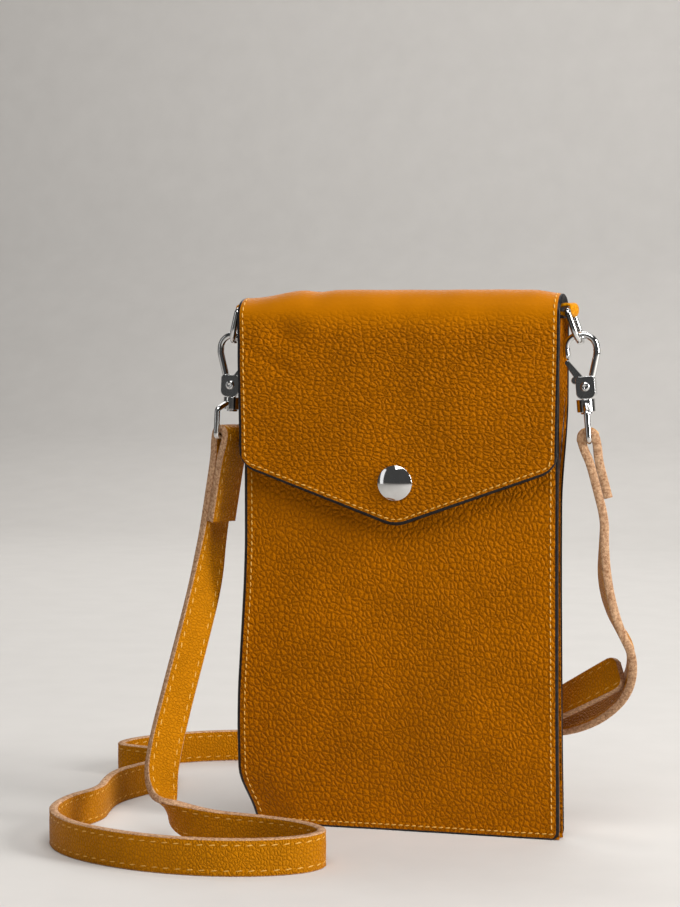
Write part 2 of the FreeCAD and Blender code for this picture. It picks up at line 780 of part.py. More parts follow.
def strap_sections(route):
    """Stations along a route of (point, width direction): straight runs joined by tangent arcs.

    Gives (place along the route, point, tangent, width direction) for each station, and the radii.
    """
    points = [p for p, _ in route]
    stations = [(0, points[0], (points[1] - points[0]).normalize())]
    radii = []
    for i in range(1, len(points) - 1):
        back = points[i - 1] - points[i]
        ahead = points[i + 1] - points[i]
        cut = arc_share * min(back.Length, ahead.Length)
        turn = math.pi - back.getAngle(ahead)
        radius = cut / math.tan(turn / 2)
        radii.append(radius)
        back_way = Vector(back).normalize()
        ahead_way = Vector(ahead).normalize()
        start = points[i] + back_way * cut
        centre = points[i] + (back_way + ahead_way).normalize() * (radius / math.cos(turn / 2))
        axis = back_way.cross(ahead_way) * -1
        steps = max(1, math.ceil(math.degrees(turn) / arc_step))
        for step in range(steps + 1):
            angle = turn * step / steps
            spin = FreeCAD.Rotation(axis, math.degrees(angle))
            share = 2 * step / steps - 1
            run = back.Length if share < 0 else ahead.Length
            stations.append(
                (
                    i + share * cut / run,
                    centre + spin.multVec(start - centre),
                    spin.multVec(back_way * -1),
                )
            )
    last = len(points) - 1
    stations.append((last, points[last], (points[last] - points[last - 1]).normalize()))
    sections = []
    for place, point, way in stations:
        i = min(int(place), last - 1)
        share = place - i
        across = route[i][1] * (1 - share) + route[i + 1][1] * share
        across = (across - way * across.dot(way)).normalize()
        sections.append((place, point, way, across))
    return sections, radii


def strap_solid(sections, end_share=1):
    """A flat strap through its stations; the last can be narrower."""
    rings = []
    for i, (_, point, way, across) in enumerate(sections):
        share = end_share if i == len(sections) - 1 else 1
        half_width = across * (strap_width / 2 * share)
        half_thick = way.cross(across) * (strap_thickness / 2)
        ring = [
            point + half_width + half_thick,
            point - half_width + half_thick,
            point - half_width - half_thick,
            point + half_width - half_thick,
        ]
        rings.append(Part.makePolygon(ring + ring[:1]))
    return Part.makeLoft(rings, True, True)


def route_length(sections):
    return sum((b[1] - a[1]).Length for a, b in zip(sections, sections[1:]))


def buckle_frame_axes():
    """The buckle's own axes: along the strap, across it, and out of its face."""
    run = Vector(buckle_run).normalize()
    across = buckle_across - run * buckle_across.dot(run)
    across.normalize()
    return run, across, run.cross(across)


def from_buckle(x, y, z):
    run, across, face = buckle_frame_axes()
    return buckle_centre + run * x + across * y + face * z


def place_on_buckle(shape):
    run, across, face = buckle_frame_axes()
    turn = Matrix(
        run.x, across.x, face.x, buckle_centre.x,
        run.y, across.y, face.y, buckle_centre.y,
        run.z, across.z, face.z, buckle_centre.z,
        0, 0, 0, 1,
    )
    placed = shape.copy()
    placed.Placement = Placement(turn)
    return placed


def make_buckle():
    """The pin buckle on the short strap: frame, prong, the fold that holds them, and a keeper."""
    heel = buckle_length / 2
    half = (buckle_inner_width + buckle_wire) / 2
    side = tube(
        [
            (Vector(-heel, 0, 0), 0),
            (Vector(-heel, half, 0), buckle_corner_radius),
            (Vector(heel, half, 0), buckle_corner_radius),
            (Vector(heel, 0, 0), 0),
        ],
        buckle_wire,
    )
    frame = side.fuse(side.mirror(Vector(0, 0, 0), Vector(0, 1, 0))).removeSplitter()
    keep("buckle_frame", place_on_buckle(frame))
    inner = buckle_wire / 2 + buckle_clearance
    outer = inner + buckle_ply
    low_y = -strap_width / 2
    at = Vector(heel, low_y, 0)
    loop = Part.makeCylinder(outer, strap_width, at, Vector(0, 1, 0))
    hole = Part.makeCylinder(inner, strap_width, at, Vector(0, 1, 0))
    fold_end = heel + buckle_fold_length
    half_strap = strap_thickness / 2
    legs = plate_xz(
        [
            (heel, outer, 0),
            (heel + 2 * outer, half_strap, 0),
            (fold_end, half_strap, 0),
            (fold_end, -half_strap, 0),
            (heel + 2 * outer, -half_strap, 0),
            (heel, -outer, 0),
        ],
        low_y,
        low_y + strap_width,
    )
    slot = Part.makeBox(3 * outer, prong_slot, 2 * outer, Vector(heel - outer, -prong_slot / 2, -outer))
    fold = legs.fuse(loop).cut(hole).cut(slot).removeSplitter()
    keep("buckle_fold", place_on_buckle(fold))
    prong_inner = buckle_wire / 2 + running_clearance
    eye_at = Vector(heel, -prong_eye_width / 2, 0)
    prong_ring = Part.makeCylinder(prong_inner + prong_wire / 2, prong_eye_width, eye_at, Vector(0, 1, 0))
    prong_bore = Part.makeCylinder(prong_inner, prong_eye_width, eye_at, Vector(0, 1, 0))
    tip = Vector(-heel - prong_overhang, 0, prong_rise)
    arm = tube([(Vector(heel, 0, prong_rise), 0), (tip, 0)], prong_wire).fuse(ball(tip, prong_wire))
    prong = prong_ring.fuse(arm).cut(prong_bore).removeSplitter()
    keep("buckle_prong", place_on_buckle(prong))
    low = -half_strap - keeper_clearance
    high = buckle_route[-2][1] + strap_thickness / 2 + keeper_clearance * 2
    wide = strap_width / 2 + keeper_clearance
    outside = Part.makeBox(
        keeper_width,
        2 * (wide + keeper_leather),
        high - low + 2 * keeper_leather,
        Vector(keeper_place - keeper_width / 2, -wide - keeper_leather, low - keeper_leather),
    )
    inside = Part.makeBox(
        keeper_width, 2 * wide, high - low, Vector(keeper_place - keeper_width / 2, -wide, low)
    )
    keep("strap_keeper", place_on_buckle(outside.cut(inside)))


def make_straps():
    """The free straps, cut into the lengths that hang, lie, run behind the pouch and end as the tail."""
    run, across, face = buckle_frame_axes()
    long_points = strap_start("left") + [(Vector(*p), Vector(*w)) for p, w in long_route]
    long_points += [(from_buckle(x, 0, z), across * -1) for x, z in buckle_route]
    long_points += [(Vector(*p), Vector(*w)) for p, w in tail_route]
    end_way = (long_points[-1][0] - long_points[-2][0]).normalize()
    tip = long_points[-1][0] + end_way * tail_tip_length
    sections, radii = strap_sections(long_points)
    print("long strap length", round(route_length(sections), 1))
    print("long strap radii", [round(r, 1) for r in radii])
    entry_place = len(long_route) + 2
    cuts = [0, landing_place, rear_place, entry_place, len(long_points)]
    names = ["strap_left_drop", "strap_floor_loop", "strap_rear_run", "strap_tail"]
    for name, low, high in zip(names, cuts, cuts[1:]):
        inside = [s for s in sections if low <= s[0] < high]
        after = [s for s in sections if s[0] >= high][:1]
        stations = inside + after
        if name == "strap_tail":
            last = stations[-1]
            stations.append((last[0] + 1, tip, last[2], last[3]))
            solid = strap_solid(stations, tail_tip_width_share)
            hole_start = from_buckle(-buckle_length / 2, 0, prong_rise)
            solid = solid.cut(Part.makeCylinder(prong_hole / 2, buckle_length, hole_start, run))
        else:
            solid = strap_solid(stations)
        expected = route_length(stations) * strap_width * strap_thickness
        print(name, "volume", round(solid.Volume), "expected", round(expected))
        keep(name, solid)
    short_points = strap_start("right") + [(Vector(*p), Vector(*w)) for p, w in short_route]
    short_points.append((from_buckle(buckle_straight, 0, 0), across))
    short_points.append((from_buckle(buckle_length / 2 + buckle_fold_length, 0, 0), across))
    sections, radii = strap_sections(short_points)
    print("short strap length", round(route_length(sections), 1))
    print("short strap radii", [round(r, 1) for r in radii])
    keep("strap_right_drop", strap_solid(sections))


make_panels()
make_gussets()
make_flap()
make_snap()
for hand in ("left", "right"):
    make_tab_and_ring(hand)
    make_hook(hand)
make_buckle()
make_straps()
os.makedirs("parts", exist_ok=True)
for node, solid in made.items():
    solid.exportStep("parts/" + node + ".step")
    print(node, solid.ShapeType, len(solid.Solids), solid.isValid(), round(solid.Volume, 1))
for hand in ("left", "right"):
    print(hand, "ring bar", ring_bar(), "hook pivot", hook_pivot(hand), "strap start", strap_start(hand)[0])
unroll = (fold_radius - leather / 2) * math.pi / 4
print("flap hinges at y", fold_y + unroll, fold_y - unroll, "and z", fold_z + unroll)
print("buckle axes", buckle_frame_axes(), "heel", from_buckle(buckle_length / 2, 0, 0))
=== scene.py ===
import bmesh
import bpy
import json
import math
from mathutils import Matrix, Vector, noise


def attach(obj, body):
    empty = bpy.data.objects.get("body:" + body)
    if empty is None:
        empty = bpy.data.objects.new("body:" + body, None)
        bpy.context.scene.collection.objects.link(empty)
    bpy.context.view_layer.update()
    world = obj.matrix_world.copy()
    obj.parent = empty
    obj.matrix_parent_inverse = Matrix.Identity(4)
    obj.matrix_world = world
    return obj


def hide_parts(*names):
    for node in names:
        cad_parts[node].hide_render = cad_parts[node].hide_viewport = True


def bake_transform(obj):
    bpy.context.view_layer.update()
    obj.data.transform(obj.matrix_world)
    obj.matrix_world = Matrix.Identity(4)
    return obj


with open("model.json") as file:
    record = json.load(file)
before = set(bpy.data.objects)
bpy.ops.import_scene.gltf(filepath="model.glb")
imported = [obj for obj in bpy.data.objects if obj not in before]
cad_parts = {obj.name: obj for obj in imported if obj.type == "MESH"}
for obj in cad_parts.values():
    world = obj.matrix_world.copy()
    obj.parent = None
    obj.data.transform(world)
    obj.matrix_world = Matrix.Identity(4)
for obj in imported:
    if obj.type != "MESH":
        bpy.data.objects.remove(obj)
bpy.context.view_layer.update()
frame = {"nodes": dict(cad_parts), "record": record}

nodes = frame["nodes"]
mm = 0.001

# Front panel: one piece of pebbled cowhide on a cloth lining, cut square with small round corners.
# Its cut edge is rounded and painted black, and one row of stitching along the sides and the
# bottom sews it to the gussets. Empty, it is flat at the mouth and leans back towards the bottom.
front_half = 55.2 * mm
mouth_height = 172 * mm
front_levels = [(0, 2.6 * mm), (35 * mm, -0.4 * mm), (95 * mm, -2.9 * mm), (172 * mm, -2.9 * mm)]
level_ease = 14 * mm
corner_radius = 3 * mm
panel_thickness = 2 * mm
paint_lines = [(0, -0.5 * mm), (0.25 * mm, -0.16 * mm), (0.7 * mm, 0)]
belly = 0.7 * mm
belly_middle = 0.35
ripple = 0.15 * mm
ripple_size = 11 * mm
bulge_out = 3.4 * mm
bulge_forward = 0.4
bulge_middle = 30 * mm
bulge_top = 105 * mm
curl_from = 30 * mm
curl_run = 26 * mm
curl_height = 20 * mm
curl_in = 5.5 * mm
curl_back = 2.5 * mm


def linear(colour):
    """The linear colour of an sRGB hex value."""
    shares = [int(colour[i:i + 2], 16) / 255 for i in (1, 3, 5)]
    return [s / 12.92 if s <= 0.04045 else ((s + 0.055) / 1.055) ** 2.4 for s in shares] + [1]


def add_node(tree, kind, inputs, **settings):
    """Adds one shader node; an input that is a socket is linked, any other is set."""
    made = tree.nodes.new("ShaderNode" + kind)
    for name, value in settings.items():
        setattr(made, name, value)
    for name, value in inputs.items():
        if isinstance(value, bpy.types.NodeSocket):
            tree.links.new(value, made.inputs[name])
        else:
            made.inputs[name].default_value = value
    return made.outputs


def new_material(name, **sockets):
    """A material whose shader has these sockets set."""
    material = bpy.data.materials.new(name)
    material.use_nodes = True
    shader = material.node_tree.nodes["Principled BSDF"]
    for socket, value in sockets.items():
        shader.inputs[socket.replace("_", " ")].default_value = value
    return material, material.node_tree, shader


def pebbled_cowhide(name, skin, crease, pebble, depth):
    """Milled cowhide on its own flat plane: soft domed pebbles, with painted shade darkening the creases.

    Where its grain is low, the hide is stretched smooth, and its paler tone there is a painted highlight.
    """
    material, tree, shader = new_material(name, IOR=1.25, Specular_Tint=linear("#FFB458"))
    hide = add_node(tree, "UVMap", {}, uv_map="hide")["UV"]
    grain = add_node(tree, "Attribute", {}, attribute_name="grain")["Fac"]

    def hide_noise(size, detail):
        spots = {"Vector": hide, "Scale": 1 / size, "Detail": detail}
        return add_node(tree, "TexNoise", spots, noise_dimensions="2D")

    wander = {0: hide_noise(5 * mm, 2)["Color"], 1: [1 * mm] * 3, 2: hide}
    bent = add_node(tree, "VectorMath", wander, operation="MULTIPLY_ADD")["Vector"]
    size = [1 / pebble[0], 1 / pebble[1], 1]
    cells = add_node(tree, "VectorMath", {0: bent, 1: size}, operation="MULTIPLY")["Vector"]
    domes = []
    for scale in (1, 2.1):
        cell = {"Vector": cells, "Scale": scale}
        inside = add_node(tree, "TexVoronoi", cell, feature="DISTANCE_TO_EDGE", voronoi_dimensions="2D")
        dome = {"Value": inside["Distance"], "From Max": 0.38}
        domes.append(add_node(tree, "MapRange", dome, interpolation_type="SMOOTHSTEP")["Result"])
    relief = add_node(tree, "Math", {0: domes[1], 1: 0.3, 2: domes[0]}, operation="MULTIPLY_ADD")["Value"]
    pores = hide_noise(0.8 * mm, 3)["Fac"]
    rough = add_node(tree, "Math", {0: pores, 1: 0.4, 2: relief}, operation="MULTIPLY_ADD")["Value"]
    height = add_node(tree, "Math", {0: rough, 1: grain}, operation="MULTIPLY")["Value"]
    bump = add_node(tree, "Bump", {"Height": height, "Distance": depth, "Strength": 1})["Normal"]
    # Painted shade: the pebbles' high tops take the skin colour and the low creases the darker crease colour.
    tops = add_node(tree, "MapRange", {"Value": rough, "From Max": 0.9})["Result"]
    smooth = add_node(tree, "Math", {0: 1, 1: grain}, operation="SUBTRACT")["Value"]
    shown = add_node(tree, "Math", {0: tops, 1: smooth}, operation="MAXIMUM")["Value"]
    grained = add_node(tree, "Mix", {0: shown, 6: linear(crease), 7: linear(skin)}, data_type="RGBA")[2]
    # Painted highlight: the smooth roll's paler tone stands in for the light from above on the fold.
    stretched_lit_tone = linear("#BC7002")
    tone = add_node(tree, "Mix", {0: smooth, 6: grained, 7: stretched_lit_tone}, data_type="RGBA")[2]
    patches = {"Value": hide_noise(22 * mm, 3)["Fac"], "From Min": 0.3, "From Max": 0.7}
    level = add_node(tree, "MapRange", {**patches, "To Min": 0.9, "To Max": 1.06})["Result"]
    colour = add_node(tree, "HueSaturation", {"Color": tone, "Value": level})["Color"]
    gloss = add_node(tree, "MapRange", {"Value": relief, "To Min": 0.6, "To Max": 0.44})["Result"]
    tree.links.new(colour, shader.inputs["Base Color"])
    tree.links.new(gloss, shader.inputs["Roughness"])
    tree.links.new(bump, shader.inputs["Normal"])
    return material


def edge_paint():
    """Black acrylic edge paint: a thick satin bead, slightly uneven from the brush."""
    material, tree, shader = new_material("black edge paint", Roughness=0.4, Specular_IOR_Level=0.3)
    place = add_node(tree, "TexCoord", {})["Object"]
    brush = add_node(tree, "TexNoise", {"Vector": place, "Scale": 1 / (1.5 * mm), "Detail": 2})["Fac"]
    worn = add_node(tree, "MapRange", {"Value": brush, "From Min": 0.45, "From Max": 0.75})["Result"]
    tone = add_node(tree, "Mix", {0: worn, 6: linear("#0A090B"), 7: linear("#1E1B1C")}, data_type="RGBA")[2]
    bump = add_node(tree, "Bump", {"Height": brush, "Distance": 0.12 * mm})["Normal"]
    tree.links.new(tone, shader.inputs["Base Color"])
    tree.links.new(bump, shader.inputs["Normal"])
    return material


def twill_lining():
    """Black polyester twill: diagonal ribs and a faint sheen.

    The ribs are 2.5 mm apart, coarser than on real twill, so that they show.
    """
    material, tree, shader = new_material("black twill", Roughness=0.7, Sheen_Weight=0.3)
    hide = add_node(tree, "UVMap", {}, uv_map="hide")["UV"]
    ribs = {"Vector": hide, "Scale": 1 / (5.58 * mm), "Distortion": 0.4}
    rib = add_node(tree, "TexWave", ribs, bands_direction="DIAGONAL")["Fac"]
    tone = add_node(tree, "Mix", {0: rib, 6: linear("#0D0B0A"), 7: linear("#2B2421")}, data_type="RGBA")[2]
    bump = add_node(tree, "Bump", {"Height": rib, "Distance": 0.08 * mm})["Normal"]
    tree.links.new(tone, shader.inputs["Base Color"])
    tree.links.new(bump, shader.inputs["Normal"])
    return material


def bonded_thread():
    """Yellow bonded polyester thread: a tight twist with a slight waxed shine."""
    material, tree, shader = new_material("yellow bonded thread", Roughness=0.55)
    place = add_node(tree, "TexCoord", {})["Object"]
    fibre = add_node(tree, "TexNoise", {"Vector": place, "Scale": 1 / (0.5 * mm), "Detail": 2})["Fac"]
    tone = add_node(tree, "Mix", {0: fibre, 6: linear("#C88A2C"), 7: linear("#E8B652")}, data_type="RGBA")[2]
    tree.links.new(tone, shader.inputs["Base Color"])
    return material


def grid_sheet(columns, rows, place, hide, painted, grain=None):
    """A sheet with a line at each column and row, bent into shape by place.

    painted counts the strips of edge paint at the left, right, first and last edge.
    """
    bm = bmesh.new()
    across, along = len(columns) - 1, len(rows) - 1
    bmesh.ops.create_grid(bm, x_segments=across, y_segments=along, size=1)
    flat = bm.loops.layers.uv.new("hide")
    strength = bm.verts.layers.float.new("grain")
    left, right, first, last = painted
    spots = {}
    for v in bm.verts:
        spots[v] = columns[round((v.co.x + 1) / 2 * across)], rows[round((v.co.y + 1) / 2 * along)]
    for f in bm.faces:
        middle = f.calc_center_median()
        i, j = int((middle.x + 1) / 2 * across), int((middle.y + 1) / 2 * along)
        f.material_index = int(i < left or i >= across - right or j < first or j >= along - last)
        f.smooth = True
        for loop in f.loops:
            loop[flat].uv = hide(*spots[loop.vert])
    for v, spot in spots.items():
        v.co = place(*spot)
        v[strength] = grain(*spot) if grain else 1
    for e in bm.edges:
        e.smooth = not (e.is_boundary and e.link_faces[0].material_index == 0)
    bm.normal_update()
    return bm


def piece(name, bm, materials):
    """An object at the origin from a finished mesh."""
    mesh = bpy.data.meshes.new(name)
    bm.to_mesh(mesh)
    bm.free()
    for material in materials:
        mesh.materials.append(material)
    made = bpy.data.objects.new(name, mesh)
    bpy.context.collection.objects.link(made)
    return made


def thicken(made, thickness, inner_shift):
    """Gives a sheet its thickness inwards; the inner face takes the material so many places on."""
    shell = made.modifiers.new("thickness", "SOLIDIFY")
    shell.thickness = thickness
    shell.offset = -1
    shell.use_quality_normals = True
    shell.material_offset = inner_shift


def ease(share):
    """A share kept between 0 and 1 and eased at both ends."""
    share = min(1, max(0, share))
    return share * share * (3 - 2 * share)


def front_depth(z):
    """The front face's depth at a height, with the changes of slope eased."""
    depths = []
    for shift in (-1, -0.5, 0, 0.5, 1):
        at = min(max(z + shift * level_ease, 0), front_levels[-1][0])
        for (low, near), (high, far) in zip(front_levels, front_levels[1:]):
            if low <= at <= high:
                depths.append(near + (far - near) * (at - low) / (high - low))
                break
    return sum(depths) / len(depths)


def edge_lift(inset):
    """How far the painted edge's rounding stands back at a distance from the cut."""
    for (near, low), (far, high) in zip(paint_lines, paint_lines[1:]):
        if inset < far:
            return low + (high - low) * (inset - near) / (far - near)
    return 0


def left_shift(x, z):
    """The soft lower left corner: the side bulges out above the floor and the corner curls in and back."""
    bulge = ease((bulge_top - z) / (bulge_top - bulge_middle)) * ease(-x / front_half)
    swell = bulge_out * bulge
    curl = ease(1 - z / curl_height) * ease((-x - curl_from) / curl_run)
    return Vector((curl_in * curl - swell, curl_back * curl - bulge_forward * swell, 0))


def corner_inset(z):
    """How far a rounded lower corner stands in at a height."""
    if z >= corner_radius:
        return 0
    return corner_radius - math.sqrt(max(0, corner_radius**2 - (corner_radius - z) ** 2))


def front_place(share, z):
    """A point of the front panel's face: share of the half width, and height."""
    half = front_half - corner_inset(z)
    x = share * half
    lift = edge_lift(min(half - abs(x), z, mouth_height - z))
    lift += belly * ease(1 - abs(share) ** 2) * ease(1 - abs(z / mouth_height - belly_middle) / belly_middle)
    lift += ripple * noise.noise(Vector((x, z, 0)) / ripple_size)
    return Vector((x, front_depth(z) - lift, z)) + left_shift(x, z)


def edge_columns(half, count, rim=1):
    """Shares of a half width, with close lines at the painted edges."""
    inner = [1 - rim * inset / half for inset, _ in paint_lines]
    reach = inner[-1]
    middle = [reach * (2 * i / count - 1) for i in range(1, count)]
    return [-s for s in inner] + middle + inner[::-1]


def even_shares(side, count):
    """Shares spaced evenly from one side to the other."""
    return [-side + i * 2 * side / count for i in range(count + 1)]


def surface_line(place, spots):
    """Points and outward directions along spots of a surface whose two ways cross outwards."""
    line = []
    step = 0.05 * mm
    for a, b in spots:
        at = place(a, b)
        out = (place(a + step / front_half, b) - at).cross(place(a, b + step) - at).normalized()
        line.append((at, out))
    return line


def sew(bm, line, pitch, stitch, thread, material_index=0):
    """Stitches along a line of points and outward directions, each one short waxed thread sunk by half."""
    slant, flatness = 0.12, 0.8
    row = bmesh.new()
    walked, due = 0, pitch / 2
    for (near, out), (far, _) in zip(line, line[1:]):
        run = (far - near).length
        while run and due <= walked + run:
            along = (far - near) / run
            side = out.cross(along).normalized()
            up = along.cross(side)
            lie = (along + side * slant).normalized()
            axes = (up.cross(lie) * thread / 2, up * flatness * thread / 2, lie * stitch / 2)
            turn = Matrix(axes).transposed().to_4x4()
            turn.translation = near.lerp(far, (due - walked) / run)
            bmesh.ops.create_uvsphere(row, u_segments=6, v_segments=5, radius=1, matrix=turn)
            due += pitch
        walked += run
    for f in row.faces:
        f.smooth = True
        f.material_index = material_index
    joined = bpy.data.meshes.new("stitches")
    row.to_mesh(joined)
    row.free()
    bm.from_mesh(joined)
    bpy.data.meshes.remove(joined)
    return bm


# The second colour of each pebbled hide is the painted shade in its creases.
cowhide = pebbled_cowhide("ochre pebbled cowhide", "#B06600", "#925100", (1.8 * mm, 2.1 * mm), 0.36 * mm)
paint = edge_paint()
twill = twill_lining()
thread = bonded_thread()
shell_materials = [cowhide, paint, twill, paint]
seam_inset = 2.1 * mm
side_inset = 2.7 * mm
seam_top = 2 * mm
panel_seam = {"pitch": 2.4 * mm, "stitch": 1.75 * mm, "thread": 0.55 * mm}
front_rim = 1.6
front_row = 2.5 * mm
corner_rows = [1.8 * mm, 3 * mm]

rows = [inset for inset, _ in paint_lines] + corner_rows + [z * front_row for z in range(2, 68)]
rows += [mouth_height - inset for inset, _ in paint_lines[::-1]]
front = piece(
    "front_leather",
    grid_sheet(
        edge_columns(front_half, 52, front_rim),
        rows,
        front_place,
        lambda s, z: (s * front_half, z),
        (2, 2, 2, 2),
    ),
    shell_materials,
)
thicken(front, panel_thickness, 2)
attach(front, "pouch")
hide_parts("front_panel", "front_lining")
side = 1 - side_inset / front_half
down = [(-side, mouth_height - seam_top - i * mm) for i in range(168)]
along = [(share, seam_inset) for share in even_shares(side, 110)]
up = [(side, z) for _, z in down[::-1]]
front_seam = piece(
    "front_stitching",
    sew(bmesh.new(), surface_line(front_place, down + along + up), **panel_seam),
    [thread],
)
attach(front_seam, "pouch")

# Gussets: strips of the same hide, 1 mm thick, folded inwards between the panels on both sides and
# along the bottom, so that the pouch lies flat when empty. They are sewn in with the panels' edges.
back_inner = 8.6 * mm
gusset_thickness = 1 * mm
leather_thickness = 1.5 * mm
seam_depth = 5.4 * mm
pinch_from = 36 * mm
pinch_top = 150 * mm
pinch_run = 36 * mm
gusset_flat = 20 * mm
gusset_row = 3 * mm
gusset_base = 0.3 * mm
gusset_inset = 0.1 * mm
gusset_flare = 0.8 * mm
edge_draw = 0.1
fold_roundness = 0.8
gusset_ripple = 0.4 * mm
gusset_ripple_size = 9 * mm
gusset_folds = {
    -1: [(0, 6.5 * mm), (35 * mm, 6.5 * mm), (180 * mm, 4.5 * mm)],
    1: [(0, 6.5 * mm), (35 * mm, 6.5 * mm), (95 * mm, 4.5 * mm), (130 * mm, 1.8 * mm), (180 * mm, 1.4 * mm)],
}
bottom_fold = 7.2 * mm
bottom_base = 0.4 * mm
bottom_column = 2.5 * mm


def gusset_fold(side, z):
    """How far one side's strip folds in at a height; the right one stands open near the mouth."""
    for (low, deep), (high, shallow) in zip(gusset_folds[side], gusset_folds[side][1:]):
        if z <= high:
            return deep + (shallow - deep) * (z - low) / (high - low)


def pinch(x, z):
    """How far the back's edge is drawn towards the front where the empty gusset lies flat."""
    spare = max(0, back_inner + leather_thickness - front_depth(z) - seam_depth)
    return spare * ease((abs(x) - pinch_from) / (front_half - pinch_from)) * ease((pinch_top - z) / pinch_run)


def gusset_place(side, share, z):
    """A point of the folded side strip: share 0 at the front panel, 1 at the back."""
    front_in = front_depth(z) + leather_thickness
    drawn = pinch(front_half, z)
    deep = back_inner - drawn - front_in
    edge = front_half - gusset_inset + (gusset_flare - edge_draw * drawn) * ease(2 * share - 1)
    fold = gusset_fold(side, z) + gusset_ripple * noise.noise(Vector((0, 0, z / gusset_ripple_size)))
    fold *= math.sin(math.pi * share) ** fold_roundness
    y = front_in + deep * (share - 0.1 * math.sin(2 * math.pi * share))
    shift = left_shift(-front_half, z) if side < 0 else Vector((0, 0, 0))
    return Vector((side * (edge - fold) + shift.x, y + shift.y * (1 - share), z))


shares = [i / 16 for i in range(17)]
for side, hand in ((-1, "left"), (1, "right")):
    order = shares if side > 0 else shares[::-1]
    strip = piece(
        "gusset_leather_" + hand,
        grid_sheet(
            order,
            [z * gusset_row + gusset_base for z in range(60)],
            lambda share, z, side=side: gusset_place(side, share, z),
            lambda share, z: (share * gusset_flat, z),
            (0, 0, 0, 0),
        ),
        [cowhide, paint],
    )
    thicken(strip, gusset_thickness, 0)
    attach(strip, "pouch")
    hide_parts("gusset_" + hand)


def bottom_place(x, share):
    """A point of the folded bottom strip: share 0 at the front panel, 1 at the back."""
    front_in = front_depth(0) + panel_thickness
    y = front_in + (back_inner - front_in) * share
    return Vector((x, y, bottom_base + math.sin(math.pi * share) ** fold_roundness * bottom_fold))


bottom = piece(
    "gusset_leather_bottom",
    grid_sheet(
        [i * bottom_column for i in range(-19, 20)],
        shares[::-1],
        bottom_place,
        lambda x, share: (x, share * gusset_flat),
        (0, 0, 0, 0),
    ),
    [cowhide, paint],
)
thicken(bottom, gusset_thickness, 0)
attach(bottom, "pouch")
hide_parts("gusset_bottom")

# Back, fold and flap: one long piece of lined hide that is the back panel, rolls over the top and
# comes down the front to a blunt point. It is made as two pieces that meet on the top line.
# All round, its edge is painted black and sewn with one row.
fold_y = 1.1 * mm
fold_z = 178 * mm
fold_radius = 9 * mm
roll = fold_radius * math.pi / 2
back_half = 56.2 * mm
flap_low_half = 55.6 * mm
flap_corner = 8 * mm
flap_tip = 10 * mm
flap_tip_height = 106.4 * mm
flap_point = 20.1 * mm
flap_slope = math.atan2(flap_point, front_half)
flap_taper_run = 50 * mm
cover_ripple = 0.16 * mm
cover_ripple_size = 10 * mm
cover_ripple_row = 3 * mm
left_sag, left_sag_from, left_sag_run = 2.8 * mm, -32 * mm, 22 * mm
right_sag, right_sag_from, right_sag_run = 1.4 * mm, 45 * mm, 11 * mm
dip, dip_x, dip_size = 0.7 * mm, -29 * mm, 4 * mm
pucker, pucker_x, pucker_run, pucker_size = 1.9 * mm, -40 * mm, 20 * mm, (6 * mm, 4.5 * mm)
crease, crease_x, crease_run, crease_size = 0.7 * mm, -42 * mm, 31 * mm, (13 * mm, 3 * mm)
crease_slope = 0.5
back_draw = 0.08
smooth_grain = 0.05
grain_from = 0.8 * roll
grain_run = 11 * mm


def dent(across, along=0):
    """A soft dent's share of its depth, at a distance from its middle told in its own sizes."""
    return math.exp(-(across**2) - along**2)


def cover_place(x, run):
    """A point of the long piece's outer face; run is the way from the top line, forwards positive."""
    way = abs(run)
    turn = min(way / fold_radius, math.pi / 2)
    ahead = 1 if run > 0 else -1
    inset = back_half - abs(x)
    uneven = noise.noise(Vector((x, run, cover_ripple_row)) / cover_ripple_size)
    lift = edge_lift(inset) + cover_ripple * uneven
    top = math.cos(turn)
    sag = left_sag * ease((left_sag_from - x) / left_sag_run) + dip * dent((x - dip_x) / dip_size)
    sag += right_sag * ease((x - right_sag_from) / right_sag_run)
    radius = fold_radius + lift
    y = fold_y - ahead * radius * math.sin(turn)
    z = fold_z + radius * top - max(0, way - roll) - sag * top
    if ahead > 0:
        y += pucker * dent((x - pucker_x) / pucker_size[0], (run - pucker_run) / pucker_size[1])
        middle = crease_run + crease_slope * (x - crease_x)
        y += crease * dent((x - crease_x) / crease_size[0], (run - middle) / crease_size[1])
    return Vector((x, y, z))


def flap_end(x):
    """The length of the flap's side of the sheet at a place across it."""
    x = abs(x)
    rise = math.tan(flap_slope)
    blunt = flap_tip * math.sin(flap_slope)
    corner_x = flap_low_half - flap_corner
    if x < blunt:
        z = flap_tip_height + flap_tip / math.cos(flap_slope) - math.sqrt(flap_tip**2 - x * x)
    elif x < corner_x + flap_corner * math.sin(flap_slope):
        z = flap_tip_height + rise * x
    else:
        centre = flap_tip_height + rise * corner_x + flap_corner / math.cos(flap_slope)
        z = centre - math.sqrt(max(0, flap_corner**2 - (x - corner_x) ** 2))
    return roll + fold_z - z


def flap_place(share, part):
    """A point of the flap: share of its half width, and part of its length from the top line."""
    end = flap_end(share * flap_low_half)
    run = part * end
    half = back_half - (back_half - flap_low_half) * ease((run - roll) / flap_taper_run)
    x = share * half
    at = cover_place(x * back_half / half, run)
    at.x = x
    at.y -= edge_lift(end - run)
    return at


def back_place(share, run):
    """A point of the back panel and the rear half of the roll."""
    at = cover_place(share * back_half, -run)
    low = at.z
    at.x *= 1 - corner_inset(low) / back_half
    drawn = pinch(at.x, low)
    shift = left_shift(at.x, low)
    at.x += shift.x - math.copysign(back_draw * drawn, at.x)
    at.y += edge_lift(low) - drawn
    return at


def roll_grain(share, run):
    """The hide is stretched smooth over the roll and pebbled away from it."""
    return smooth_grain + (1 - smooth_grain) * ease((run - grain_from) / grain_run)


